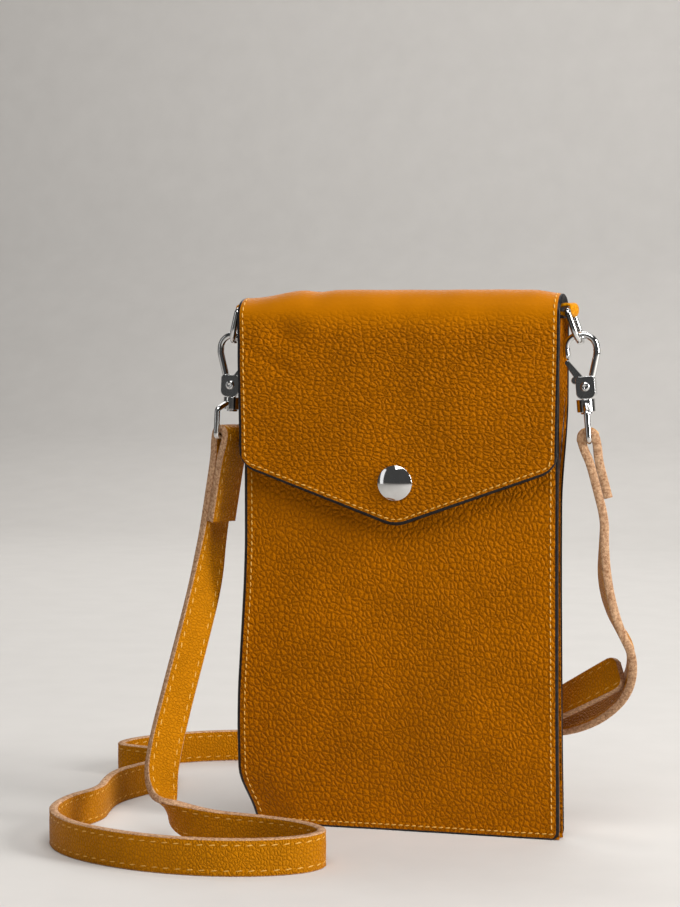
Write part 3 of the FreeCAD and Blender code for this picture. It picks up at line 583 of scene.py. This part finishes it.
flap_hide = pebbled_cowhide(
    "ochre pebbled cowhide flap", "#B06600", "#925100", (2.2 * mm, 1.6 * mm), 0.45 * mm
)
flap_materials = [flap_hide, paint, twill, paint]
flap_rim = 1.5
flap_length = 74 * mm
flap_rows = 44
parts = [1 - flap_rim * inset / flap_length for inset, _ in paint_lines]
parts += [i / flap_rows for i in range(flap_rows - 1, 0, -1)] + [0.012, 0.004, 0]
flap = piece(
    "flap_leather",
    grid_sheet(
        edge_columns(back_half, 56, flap_rim),
        parts,
        flap_place,
        lambda s, part: (s * back_half, part * flap_end(s * flap_low_half)),
        (2, 2, 2, 0),
        lambda s, part: roll_grain(s, part * flap_end(s * flap_low_half)),
    ),
    flap_materials,
)
thicken(flap, panel_thickness, 2)
back_length = roll + fold_z
runs = [0, 0.3 * mm, mm] + [i * 2 * mm for i in range(1, 12)] + [24 * mm + i * 4 * mm for i in range(41)]
runs += [back_length - inset for inset in corner_rows[::-1]]
runs += [back_length - inset for inset, _ in paint_lines[::-1]]
back = piece(
    "back_leather",
    grid_sheet(
        edge_columns(back_half, 40),
        runs,
        back_place,
        lambda s, run: (s * back_half, -run),
        (2, 2, 0, 2),
        roll_grain,
    ),
    shell_materials,
)
thicken(back, panel_thickness, 2)
side = 1 - seam_inset / back_half
flap_spots = [(-side, i * mm / flap_end(flap_low_half * side)) for i in range(1, 62)]
low_side = 0.955
low_shares = [s for s in even_shares(side, 130) if abs(s) < low_side]
low_spots = [(s, 1 - seam_inset / flap_end(s * flap_low_half)) for s in low_shares]
flap_row = flap_spots + low_spots + [(side, p) for _, p in flap_spots[::-1]]
# The flap's part grows downwards, so its sign is turned here to make the two ways cross outwards.
flap_seam = piece(
    "flap_stitching",
    sew(
        bmesh.new(),
        surface_line(lambda s, p: flap_place(s, -p), [(s, -p) for s, p in flap_row]),
        **panel_seam,
    ),
    [thread],
)
back_side = [(-side, run * mm) for run in range(1, 190)]
back_low = [(share, back_length - seam_inset) for share in even_shares(side, 110)]
back_seam = piece(
    "back_stitching",
    sew(
        bmesh.new(),
        surface_line(back_place, back_side + back_low + [(side, run) for _, run in back_side[::-1]]),
        **panel_seam,
    ),
    [thread],
)
for made in (flap, flap_seam):
    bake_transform(made)
for made in (back, back_seam):
    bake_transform(made)
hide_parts("flap_fold", "fold_lining", "flap_panel", "flap_lining")
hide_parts("back_panel", "back_lining")

# Bright fittings: press stud, D-rings, swivel hooks, buckle. They are die-cast or wire, polished and
# nickel plated; all but the rivets keep the frame's shapes. The stud's and the gates' springs are steel.


def nickel_plate():
    """Bright nickel plate: a near mirror with a faint warm cast and hair-fine polishing marks."""
    material, tree, shader = new_material("bright nickel plate", Metallic=1)
    place = add_node(tree, "TexCoord", {})["Object"]
    haze = add_node(tree, "TexNoise", {"Vector": place, "Scale": 1 / (2.5 * mm), "Detail": 3})["Fac"]
    gloss = add_node(tree, "MapRange", {"Value": haze, "To Min": 0.04, "To Max": 0.1})["Result"]
    tone = add_node(tree, "Mix", {0: haze, 6: linear("#C9C8C6"), 7: linear("#DEDEDD")}, data_type="RGBA")[2]
    tumbled = add_node(tree, "Bevel", {"Radius": 0.3 * mm}, samples=16)["Normal"]
    tree.links.new(tumbled, shader.inputs["Normal"])
    tree.links.new(tone, shader.inputs["Base Color"])
    tree.links.new(gloss, shader.inputs["Roughness"])
    return material


def spring_steel():
    """Spring steel strip and wire: grey metal with a drawn, satin surface."""
    material, tree, shader = new_material("drawn spring steel", Metallic=1)
    place = add_node(tree, "TexCoord", {})["Object"]
    drawn = add_node(tree, "TexNoise", {"Vector": place, "Scale": 1 / (0.6 * mm), "Detail": 2})["Fac"]
    gloss = add_node(tree, "MapRange", {"Value": drawn, "To Min": 0.25, "To Max": 0.4})["Result"]
    tone = add_node(tree, "Mix", {0: drawn, 6: linear("#77777A"), 7: linear("#98989B")}, data_type="RGBA")[2]
    tree.links.new(tone, shader.inputs["Base Color"])
    tree.links.new(gloss, shader.inputs["Roughness"])
    return material


nickel = nickel_plate()
steel = spring_steel()
for subpart in frame["record"]["subparts"]:
    fitting = {"bright_metal": nickel, "spring_steel": steel}.get(subpart["material_slot"])
    if fitting:
        for holder in nodes[subpart["node"]].material_slots:
            holder.material = fitting

# Gate rivets: turned pins with a low domed head on each side of the hook's body, each with a small
# round recess left by the setting tool. They are plated like the hook.
hook_pivots = {"left": Vector((60.064, 2.4, 168.892)) * mm, "right": Vector((61.492, 2.4, 169.322)) * mm}
hook_tilts = {"left": 3, "right": 5}
rivet_place = Vector((0.5, 0, -14.9)) * mm
rivets = []
rivet_profile = [
    (0, 2.5), (0.4, 2.5), (0.55, 2.68), (0.9, 2.72), (1.25, 2.6), (1.55, 2.36), (1.6, 2.2), (0.8, 2.2),
    (0.8, 0),
]


def on_hook(hand, place):
    """Where a place in a right-hand hook's own space lies on one side."""
    turn = Matrix.Rotation(math.radians(-hook_tilts[hand]), 4, "Y")
    place = Matrix.Translation(hook_pivots[hand]) @ turn @ place
    return place if hand == "right" else Matrix.Scale(-1, 4, (1, 0, 0)) @ place


for hand in ("left", "right"):
    place = on_hook(hand, Matrix.Translation(rivet_place))
    bm = bmesh.new()
    half = rivet_profile + [(r, -y) for r, y in rivet_profile[-2::-1]]
    line = [bm.verts.new((r * mm, y * mm, 0)) for r, y in half]
    edges = [bm.edges.new(pair) for pair in zip(line, line[1:])]
    bmesh.ops.spin(
        bm,
        geom=line + edges,
        cent=(0, 0, 0),
        axis=(0, 1, 0),
        angle=math.tau,
        steps=24,
        use_merge=True,
        use_duplicate=False,
    )
    bmesh.ops.remove_doubles(bm, verts=bm.verts, dist=0.01 * mm)
    bmesh.ops.transform(bm, matrix=place, verts=bm.verts)
    bmesh.ops.recalc_face_normals(bm, faces=bm.faces)
    for f in bm.faces:
        f.smooth = True
    rivet = piece("rivet_dressed_" + hand, bm, [nickel])
    rivets.append(rivet)
    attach(rivet, "hook_" + hand)
    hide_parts("gate_rivet_" + hand)

# Ring tabs: narrow strips of hide folded over the D-rings' bars, with both ends sewn in under the
# fold beside the gusset, so that only the loop shows.
ring_x, ring_y, ring_z = 57.5, 2.4, 180
tab_width = 6.4 * mm
tab_slack = {"left": (0.45, 0.5), "right": (0.45, 0.65)}
tab_ply = 1 * mm
tab_tail = 170
tab_line = [
    (48.1, 157), (48.1, 170), (48.1, 180.8), (52.5, 181.4), (56, 182.8), (59, 183.2), (61, 181.8),
    (61.2, 179), (59.8, 177.3), (57.4, 177.6), (54.6, 178.9), (51.5, 179.6), (49.1, 179.6), (49.1, 170),
    (49.1, 157),
]


def read_spline(points):
    """Points along the smooth spline that has these as its control points."""
    curve = bpy.data.curves.new("route", "CURVE")
    curve.dimensions = "3D"
    spline = curve.splines.new("NURBS")
    spline.points.add(len(points) - 1)
    for point, at in zip(spline.points, points):
        point.co = (*at, 1)
    spline.order_u = 3
    spline.use_endpoint_u = True
    curve.resolution_u = 8
    holder = bpy.data.objects.new("route", curve)
    line = bpy.data.meshes.new_from_object(holder)
    read = [v.co.copy() for v in line.vertices]
    bpy.data.objects.remove(holder)
    bpy.data.curves.remove(curve)
    bpy.data.meshes.remove(line)
    return read


def band_stations(points, widths):
    """Places, width directions and face directions along a flat band's spline, with the way walked."""
    reach = 6 * mm
    middle = read_spline(points)
    border = read_spline([p + w.normalized() * reach for p, w in zip(points, widths)])
    stations = []
    walked = 0
    for i, at in enumerate(middle):
        way = (middle[min(i + 1, len(middle) - 1)] - middle[max(i - 1, 0)]).normalized()
        across = border[i] - at
        across = (across - way * across.dot(way)).normalized()
        walked += (at - middle[i - 1]).length if i else 0
        stations.append((walked, at, across, way.cross(across)))
    return stations


def flat_section(half_width, half_thick, groove=0, groove_place=0):
    """The outline of a flat band as places across and out, and how many of them its face has."""
    rim = 0.3 * mm
    groove_width = 0.6 * mm
    inner = half_width - rim
    face = []
    for share in (-1, -0.8, -0.6, -0.3, 0, 0.3, 0.6, 0.8, 1):
        a = share * inner
        face.append((a, half_thick - groove * dent((abs(a) - groove_place) / groove_width)))
    edge = [(half_width, half_thick - rim), (half_width, 0), (half_width, rim - half_thick)]
    under = [(-a, -b) for a, b in face]
    other = [(-a, -b) for a, b in edge]
    return face + edge + under + other, len(face)


def sweep_band(stations, section, face_count, narrow=None):
    """A band along stations, drawn by extruding its section's outline; cut edges take material 1.

    The under face's plane is set apart from the outer one's, so that their grains differ.
    """
    under_shift = 50 * mm
    bm = bmesh.new()
    flat = bm.loops.layers.uv.new("hide")
    strength = bm.verts.layers.float.new("grain")
    spot = bm.verts.layers.int.new("spot")
    walk = bm.verts.layers.float.new("walk")

    def put(verts, station):
        walked, at, across, out = station
        share = narrow(walked) if narrow else 1
        for v in verts:
            a, b = section[v[spot]]
            v.co = at + across * a * share + out * b
            v[walk] = walked
            v[strength] = 1

    count = len(section)
    ring = [bm.verts.new() for _ in section]
    for i, v in enumerate(ring):
        v[spot] = i
    put(ring, stations[0])
    edges = [bm.edges.new((ring[i - 1], ring[i])) for i in range(count)]
    ends = [list(edges)]
    for station in stations[1:]:
        made = bmesh.ops.extrude_edge_only(bm, edges=edges)["geom"]
        put([g for g in made if isinstance(g, bmesh.types.BMVert)], station)
        edges = [g for g in made if isinstance(g, bmesh.types.BMEdge)]
    ends.append(list(edges))
    half = count // 2
    for f in bm.faces:
        numbers = sorted({v[spot] for v in f.verts})
        first = numbers[0] if numbers[-1] - numbers[0] == 1 else numbers[-1]
        f.material_index = int(first % half >= face_count - 1)
        f.smooth = True
        for loop in f.loops:
            across = section[loop.vert[spot]][0]
            loop[flat].uv = (loop.vert[walk], across + (under_shift if first >= half else 0))
    for end in ends:
        cap = bmesh.ops.contextual_create(bm, geom=end)["faces"]
        for f in cap:
            f.material_index = 1
        for e in end:
            e.smooth = False
    bmesh.ops.recalc_face_normals(bm, faces=bm.faces)
    return bm


tab_turn, tab_turn_from, tab_turn_run = 0.25, 54 * mm, 4 * mm
# Painted highlight: the tab's smooth hide takes a lighter skin colour than the pouch's, for the light it
# catches from the upper right.
tab_hide_lit_tone = pebbled_cowhide("ochre smooth cowhide tab", "#D08A0A", "#B87006", (1.4 * mm, 1.4 * mm), 0.1 * mm)
tab_section, tab_faces = flat_section(tab_width / 2, tab_ply / 2)
for side, hand in ((-1, "left"), (1, "right")):
    out, high = tab_slack[hand]
    line = []
    for x, z in tab_line:
        if z > tab_tail:
            x, z = ring_x + (x - ring_x) * out if x > ring_x else x, ring_z + (z - ring_z) * high
        line.append((x, z))
    route = [Vector((side * x, ring_y, z)) * mm for x, z in line]
    turns = [tab_turn * ease((abs(p.x) - tab_turn_from) / tab_turn_run) for p in route]
    widths = [Vector((turn * side, 1, 0)) for turn in turns]
    tab = piece(
        "ring_tab_leather_" + hand,
        sweep_band(band_stations(route, widths), tab_section, tab_faces),
        [tab_hide_lit_tone, tab_hide_lit_tone],
    )
    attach(tab, "pouch")
    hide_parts("ring_tab_" + hand)

# Strap: two long strips of the hide glued back to back, 12 mm wide and 2.9 mm thick, with raw cut
# edges and a row of stitching near each. Each end is folded round a hook's eye and sewn down. The
# long strap falls to the floor, lies in a loop, goes behind and through a buckle on the short one.
strap_width = 12 * mm
strap_thick = 2.9 * mm
eye_drop = 33 * mm
fold_backs = {"left": 30, "right": 20}
eye_turns = {"left": 25, "right": 10}
end_leans = {"left": 8, "right": 10}
running_ply = {"left": 1, "right": -1}
strap_ply = 1.47
strap_seam = {"pitch": 4 * mm, "stitch": 2.7 * mm, "thread": 0.55 * mm}
stitch_place = 4.1 * mm
stitch_sunk = 0.2 * mm
groove_depth = 0.18 * mm
lead_length = 7.1
long_route = [
    ((-70.4, 0.6, 85.0), (0.63, 0.777, 0.0)),
    ((-72.4, -8.0, 67.0), (0.63, 0.777, 0.0)),
    ((-74.9, -18.0, 47.0), (0.63, 0.777, 0.0)),
    ((-76.9, -25.0, 31.0), (0.70, 0.65, -0.30)),
    ((-76.9, -30.5, 19.0), (0.62, 0.45, -0.64)),
    ((-71.8, -34.5, 9.5), (0.35, 0.30, -0.89)),
    ((-58.0, -37.0, 6.2), (0.0, 0.05, -1.0)),
    ((-38.3, -38.5, 6.0), (0.0, 0.0, -1.0)),
    ((-22.3, -43.0, 6.0), (0.0, 0.0, -1.0)),
    ((-11.3, -52.0, 6.0), (0.0, 0.0, -1.0)),
    ((-15.3, -64.0, 6.0), (0.0, 0.0, -1.0)),
    ((-31.3, -73.0, 6.0), (0.0, 0.0, -1.0)),
    ((-53.0, -76.5, 6.0), (0.0, 0.0, -1.0)),
    ((-76.6, -73.0, 6.0), (0.0, 0.0, -1.0)),
    ((-98.0, -63.0, 6.0), (0.0, 0.0, -1.0)),
    ((-111.0, -46.0, 6.0), (0.0, 0.0, -1.0)),
    ((-112.5, -26.0, 6.0), (0.0, 0.0, -1.0)),
    ((-106.5, -10.0, 6.0), (0.0, 0.0, -1.0)),
    ((-110.5, 6.0, 6.0), (0.0, 0.0, -1.0)),
    ((-112.0, 20.0, 6.0), (0.0, 0.0, -1.0)),
    ((-108.0, 33.0, 6.0), (0.0, 0.0, -1.0)),
    ((-103.0, 46.0, 6.0), (0.0, 0.0, -1.0)),
    ((-101.5, 56.0, 6.0), (0.0, 0.0, -1.0)),
    ((-108.0, 63.5, 6.0), (0.0, 0.0, -1.0)),
    ((-119.4, 65.5, 6.0), (0.0, 0.0, -1.0)),
    ((-130.4, 68.5, 6.0), (0.0, 0.0, -1.0)),
    ((-128.9, 80.0, 6.0), (0.0, 0.0, -1.0)),
    ((-119.4, 92.0, 6.0), (0.0, 0.0, -1.0)),
    ((-104.0, 104.0, 6.0), (0.0, 0.0, -1.0)),
    ((-83.6, 111.0, 6.0), (0.0, 0.0, -1.0)),
    ((-61.0, 112.0, 6.0), (0.0, 0.0, -1.0)),
    ((-39.3, 105.0, 6.4), (0.0, 0.0, -1.0)),
    ((-21.3, 91.0, 8.0), (-0.05, -0.15, -0.98)),
    ((-7.3, 73.0, 12.5), (-0.15, -0.40, -0.90)),
    ((2.2, 60.0, 18.5), (-0.24, -0.60, -0.76)),
]
buckle_route = [(-18.0, -3.7), (-4.5, -3.7), (8.5, 7.4), (17.0, 4.5), (26.0, 3.8)]
tail_route = [((52.7, 21.8, 44.2), (0.10, -0.58, -0.80)), ((71.7, 14.0, 56.0), (0.30, -0.45, -0.84))]
tail_tip = 3 * mm
tip_length = 4 * mm
tip_narrow = 0.4
short_route = [
    ((69.7, 2.2, 103.0), (-0.17, 0.985, 0.0)),
    ((69.9, 2.8, 88.0), (-0.36, 0.93, 0.03)),
    ((73.5, 5.0, 74.5), (-0.34, 0.92, 0.15)),
    ((78.6, 9.5, 65.0), (-0.25, 0.92, 0.30)),
    ((77.2, 15.5, 53.2), (-0.10, 0.86, 0.50)),
    ((69.2, 20.5, 43.9), (0.10, 0.80, 0.60)),
    ((58.3, 24.0, 38.2), (0.20, 0.75, 0.63)),
]
buckle_centre = Vector((20.7, 42, 30)) * mm
buckle_run = Vector((0.84, -0.50, 0.20)).normalized()
buckle_across = Vector((0.26, 0.70, 0.66))
buckle_across = (buckle_across - buckle_run * buckle_across.dot(buckle_run)).normalized()
buckle_face = buckle_run.cross(buckle_across)


def raw_edge():
    """Raw cut hide: tan fibre, matt, mottled by the fibre bundles and dotted with specks of dye."""
    material, tree, shader = new_material("raw cut hide", Roughness=0.9, Specular_IOR_Level=0.15)
    place = add_node(tree, "TexCoord", {})["Object"]
    bundles = {"Vector": place, "Scale": 1 / (0.9 * mm), "Detail": 5, "Roughness": 0.7}
    fibre = add_node(tree, "TexNoise", bundles)["Fac"]
    shade = add_node(tree, "MapRange", {"Value": fibre, "From Min": 0.35, "From Max": 0.65})["Result"]
    tone = add_node(tree, "Mix", {0: shade, 6: linear("#8C6040"), 7: linear("#D8B08A")}, data_type="RGBA")[2]
    bump = add_node(tree, "Bump", {"Height": fibre, "Distance": 0.25 * mm})["Normal"]
    tree.links.new(tone, shader.inputs["Base Color"])
    tree.links.new(bump, shader.inputs["Normal"])
    return material


def eye_place(hand):
    """The place of a hook's eye, with the lean of the strap's end that hangs in it."""
    turn = Matrix.Rotation(math.radians(eye_turns[hand]), 4, "Z")
    lean = Matrix.Rotation(math.radians(-end_leans[hand]), 4, "Y")
    return on_hook(hand, turn @ Matrix.Translation((0, 0, -eye_drop)) @ lean)


def stitched_band(stations, narrow=None):
    """A length of strap with a row of stitching near each edge, on both faces."""
    bm = sweep_band(stations, strap_section, strap_faces, narrow)
    high = strap_thick / 2 - stitch_sunk
    for row in (-1, 1):
        for face in (-1, 1):
            line = [
                (at + across * row * stitch_place + out * face * high, out * face)
                for _, at, across, out in stations
            ]
            sew(bm, line, **strap_seam, material_index=2)
    return bm


def tail_width(left):
    """The tail's share of its width where so much is left of it; its tip is rounded."""
    past = max(0, 1 - left / tip_length)
    return 1 - tip_narrow * (1 - math.sqrt(max(0, 1 - past**2)))


def cut_stations(stations, low, high):
    """The stations from one walked length to another."""
    inside = [s for s in stations if low <= s[0] < high]
    after = [s for s in stations if s[0] >= high][:1]
    return inside + after


def to_buckle(x, y, z):
    """A place told in mm along, across and above the buckle."""
    return buckle_centre + (buckle_run * x + buckle_across * y + buckle_face * z) * mm


strap_section, strap_faces = flat_section(strap_width / 2, strap_thick / 2, groove_depth, stitch_place)
# Painted light: the strap, its buckle fold and keeper are the pouch's hide, with the skin colour set lighter
# for the strong light on the runs.
strap_hide_lit_tone = pebbled_cowhide("ochre strap cowhide", "#BC7606", "#A06204", (1.1 * mm, 1.5 * mm), 0.22 * mm)
raw = raw_edge()
strap_materials = [strap_hide_lit_tone, raw, thread]
# Each hanging length is cut where the strap passes from one body's motion to the next; the right one
# has its last cut past its end, so it is used up whole.
drops = {"left": (12 * mm, 40 * mm, 102 * mm), "right": (14 * mm, 44 * mm, 1)}
end_overlap = 0.05
on_strap = []
for hand in ("left", "right"):
    place = eye_place(hand)
    ply = running_ply[hand] * strap_ply
    low = fold_backs[hand]
    loop = [
        (ply, -low - end_overlap), (ply, -low * 0.7), (ply, -7), (ply * 1.6, -2.5), (ply * 1.65, 2.8),
        (-ply * 1.65, 2.8), (-ply * 1.6, -2.5), (-ply, -7), (-ply, -low * 0.7), (-ply, -low),
    ]
    route = [place @ Vector((x * mm, 0, z * mm)) for x, z in loop]
    bar = place.to_3x3() @ Vector((0, 1, 0))
    end_band = stitched_band(band_stations(route, [bar] * len(route)))
    end = piece("strap_end_leather_" + hand, end_band, strap_materials)
    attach(end, "swivel_" + hand)
    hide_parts("strap_end_" + hand)
    on_strap.append(end)
    lead = [place @ Vector((ply * mm, 0, z * mm)) for z in (-low - end_overlap, -low - lead_length)]
    free = long_route if hand == "left" else short_route
    points = lead + [Vector(p) * mm for p, _ in free]
    widths = [bar, bar] + [Vector(w) for _, w in free]
    if hand == "left":
        points += [to_buckle(x, 0, z) for x, z in buckle_route] + [Vector(p) * mm for p, _ in tail_route]
        widths += [-buckle_across] * len(buckle_route) + [Vector(w) for _, w in tail_route]
        points.append(points[-1] + (points[-1] - points[-2]).normalized() * tail_tip)
        widths.append(widths[-1])
    else:
        points += [to_buckle(30, 0, 0), to_buckle(16, 0, 0)]
        widths += [buckle_across] * 2
    stations = band_stations(points, widths)
    whole = stations[-1][0]
    cuts = [0] + [min(c, whole) for c in drops[hand]]
    for number, (near, far) in enumerate(zip(cuts, cuts[1:])):
        span = cut_stations(stations, near, far)
        drop = piece("strap_drop_%s_%d" % (hand, number + 1), stitched_band(span), strap_materials)
        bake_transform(drop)
        on_strap.append(drop)
        if number == 0:
            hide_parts("strap_%s_drop" % hand)
    if hand == "left":
        span = cut_stations(stations, cuts[-1], whole + 1)
        strap_band = stitched_band(span, lambda walked, whole=whole: tail_width(whole - walked))
        strap = piece("strap_long", strap_band, strap_materials)
        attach(strap, "pouch")
        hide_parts("strap_floor_loop", "strap_rear_run", "strap_tail")

# Buckle fold and keeper: the short strap's end is split thin, goes round the buckle's heel bar on
# both sides of the prong and is sewn back. A loose loop of hide keeps the long strap's tail down.
fold_ply = 1.3 * mm
fold_side, fold_wide = 3.8, 2.2 * mm
fold_line = [
    (17, 1.05), (12.5, 1.05), (9.5, 1.6), (7.6, 1.95), (5.2, 1.9), (5.2, -1.9), (7.6, -1.95), (9.5, -1.6),
    (12.5, -1.05), (17, -1.05),
]
keeper_half = (6.9, 4.6)
keeper_middle = 20.0
keeper_up = 2.0
keeper_width = 6 * mm
keeper_ply = 1.2 * mm
fold_section, fold_faces = flat_section(fold_wide, fold_ply / 2)
for side, level in ((-1, "low"), (1, "high")):
    route = [to_buckle(x, side * fold_side, z) for x, z in fold_line]
    leg = piece(
        "buckle_fold_leather_" + level,
        sweep_band(band_stations(route, [buckle_across] * len(route)), fold_section, fold_faces),
        [strap_hide_lit_tone, raw],
    )
    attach(leg, "pouch")
    on_strap.append(leg)
    if side < 0:
        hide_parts("buckle_fold")
keeper_section, keeper_faces = flat_section(keeper_width / 2, keeper_ply / 2)
wide, high = keeper_half
ring = [
    (0, -high), (wide, -high), (wide, 0), (wide, high), (0, high), (-wide, high), (-wide, 0), (-wide, -high),
    (0, -high),
]
route = [to_buckle(keeper_middle, y, z + keeper_up) for y, z in ring]
keeper = piece(
    "strap_keeper_leather",
    sweep_band(band_stations(route, [buckle_run] * len(route)), keeper_section, keeper_faces),
    [strap_hide_lit_tone, raw],
)
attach(keeper, "pouch")
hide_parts("strap_keeper")
on_strap.append(keeper)
for hand in ("left", "right"):
    for part in ("hook_frame_", "hook_gate_", "gate_spring_", "swivel_eye_"):
        on_strap.append(nodes[part + hand])
on_strap += rivets + [nodes["buckle_frame"], nodes["buckle_prong"]]

# Studio: a pale floor that curves up into a backdrop, wide soft lamps and a long lens at the height
# of the pouch's top, a little to its right.
lens = 91.29
camera_place = Vector((189.7, -761.6, 180.1)) * mm
camera_turn = (math.radians(90 - 3.57), 0, math.radians(15.5))
paper, tree, shader = new_material("pale paper", Roughness=0.8)
place = add_node(tree, "TexCoord", {})["Object"]
tooth = add_node(tree, "TexNoise", {"Vector": place, "Scale": 1 / (25 * mm), "Detail": 3})["Fac"]
tone = add_node(tree, "Mix", {0: tooth, 6: linear("#CDC9C4"), 7: linear("#D5D1CC")}, data_type="RGBA")[2]
tree.links.new(tone, shader.inputs["Base Color"])
bm = bmesh.new()
wall = [(-2.5, 0), (1.0, 0), (1.35, 0.06), (1.6, 0.25), (1.7, 0.6), (1.7, 3)]
edge = [bm.verts.new((-3, y, z)) for y, z in wall]
edges = [bm.edges.new(pair) for pair in zip(edge, edge[1:])]
made = bmesh.ops.extrude_edge_only(bm, edges=edges)["geom"]
bmesh.ops.translate(bm, vec=(6, 0, 0), verts=[g for g in made if isinstance(g, bmesh.types.BMVert)])
for f in bm.faces:
    f.smooth = True
bmesh.ops.recalc_face_normals(bm, faces=bm.faces)
floor = piece("paper_sweep", bm, [paper])
# Each lamp's name, place, aim, width and height in metres, and power in watts.
lamps = [
    ("top", (0.15, -0.5, 0.98), (0, 0, 0.09), 0.8, 0.5, 6.5),
    ("left", (-0.9, -0.6, 0.35), (0, 0, 0.09), 0.25, 0.9, 0.8),
    ("right", (1.1, -0.24, 0.5), (0, 0, 0.09), 0.35, 0.8, 16.0),
    ("rear", (-0.3, 0.95, 0.9), (0, 0, 0.09), 0.8, 0.6, 3.5),
    ("backdrop", (0.0, 0.5, 1.5), (0, 1.7, 0.5), 1.6, 0.5, 14.0),
]
for name, at, aim, wide, high, power in lamps:
    light = bpy.data.lights.new(name + " softbox", "AREA")
    light.shape = "RECTANGLE"
    light.size, light.size_y = wide, high
    light.energy = power
    lamp = bpy.data.objects.new(name + " softbox", light)
    lamp.location = at
    lamp.rotation_euler = (Vector(aim) - Vector(at)).to_track_quat("-Z", "Y").to_euler()
    bpy.context.collection.objects.link(lamp)
world = bpy.data.worlds.new("studio room")
world.use_nodes = True
world.node_tree.nodes["Background"].inputs["Color"].default_value = linear("#FFFFFF")
world.node_tree.nodes["Background"].inputs["Strength"].default_value = 0.07
bpy.context.scene.world = world
view = bpy.data.cameras.new("view")
view.lens = lens
view.sensor_width = 36
camera = bpy.data.objects.new("view", view)
camera.location = camera_place
camera.rotation_euler = camera_turn
bpy.context.collection.objects.link(camera)
bpy.context.scene.camera = camera
bpy.context.scene.view_settings.view_transform = "Standard"
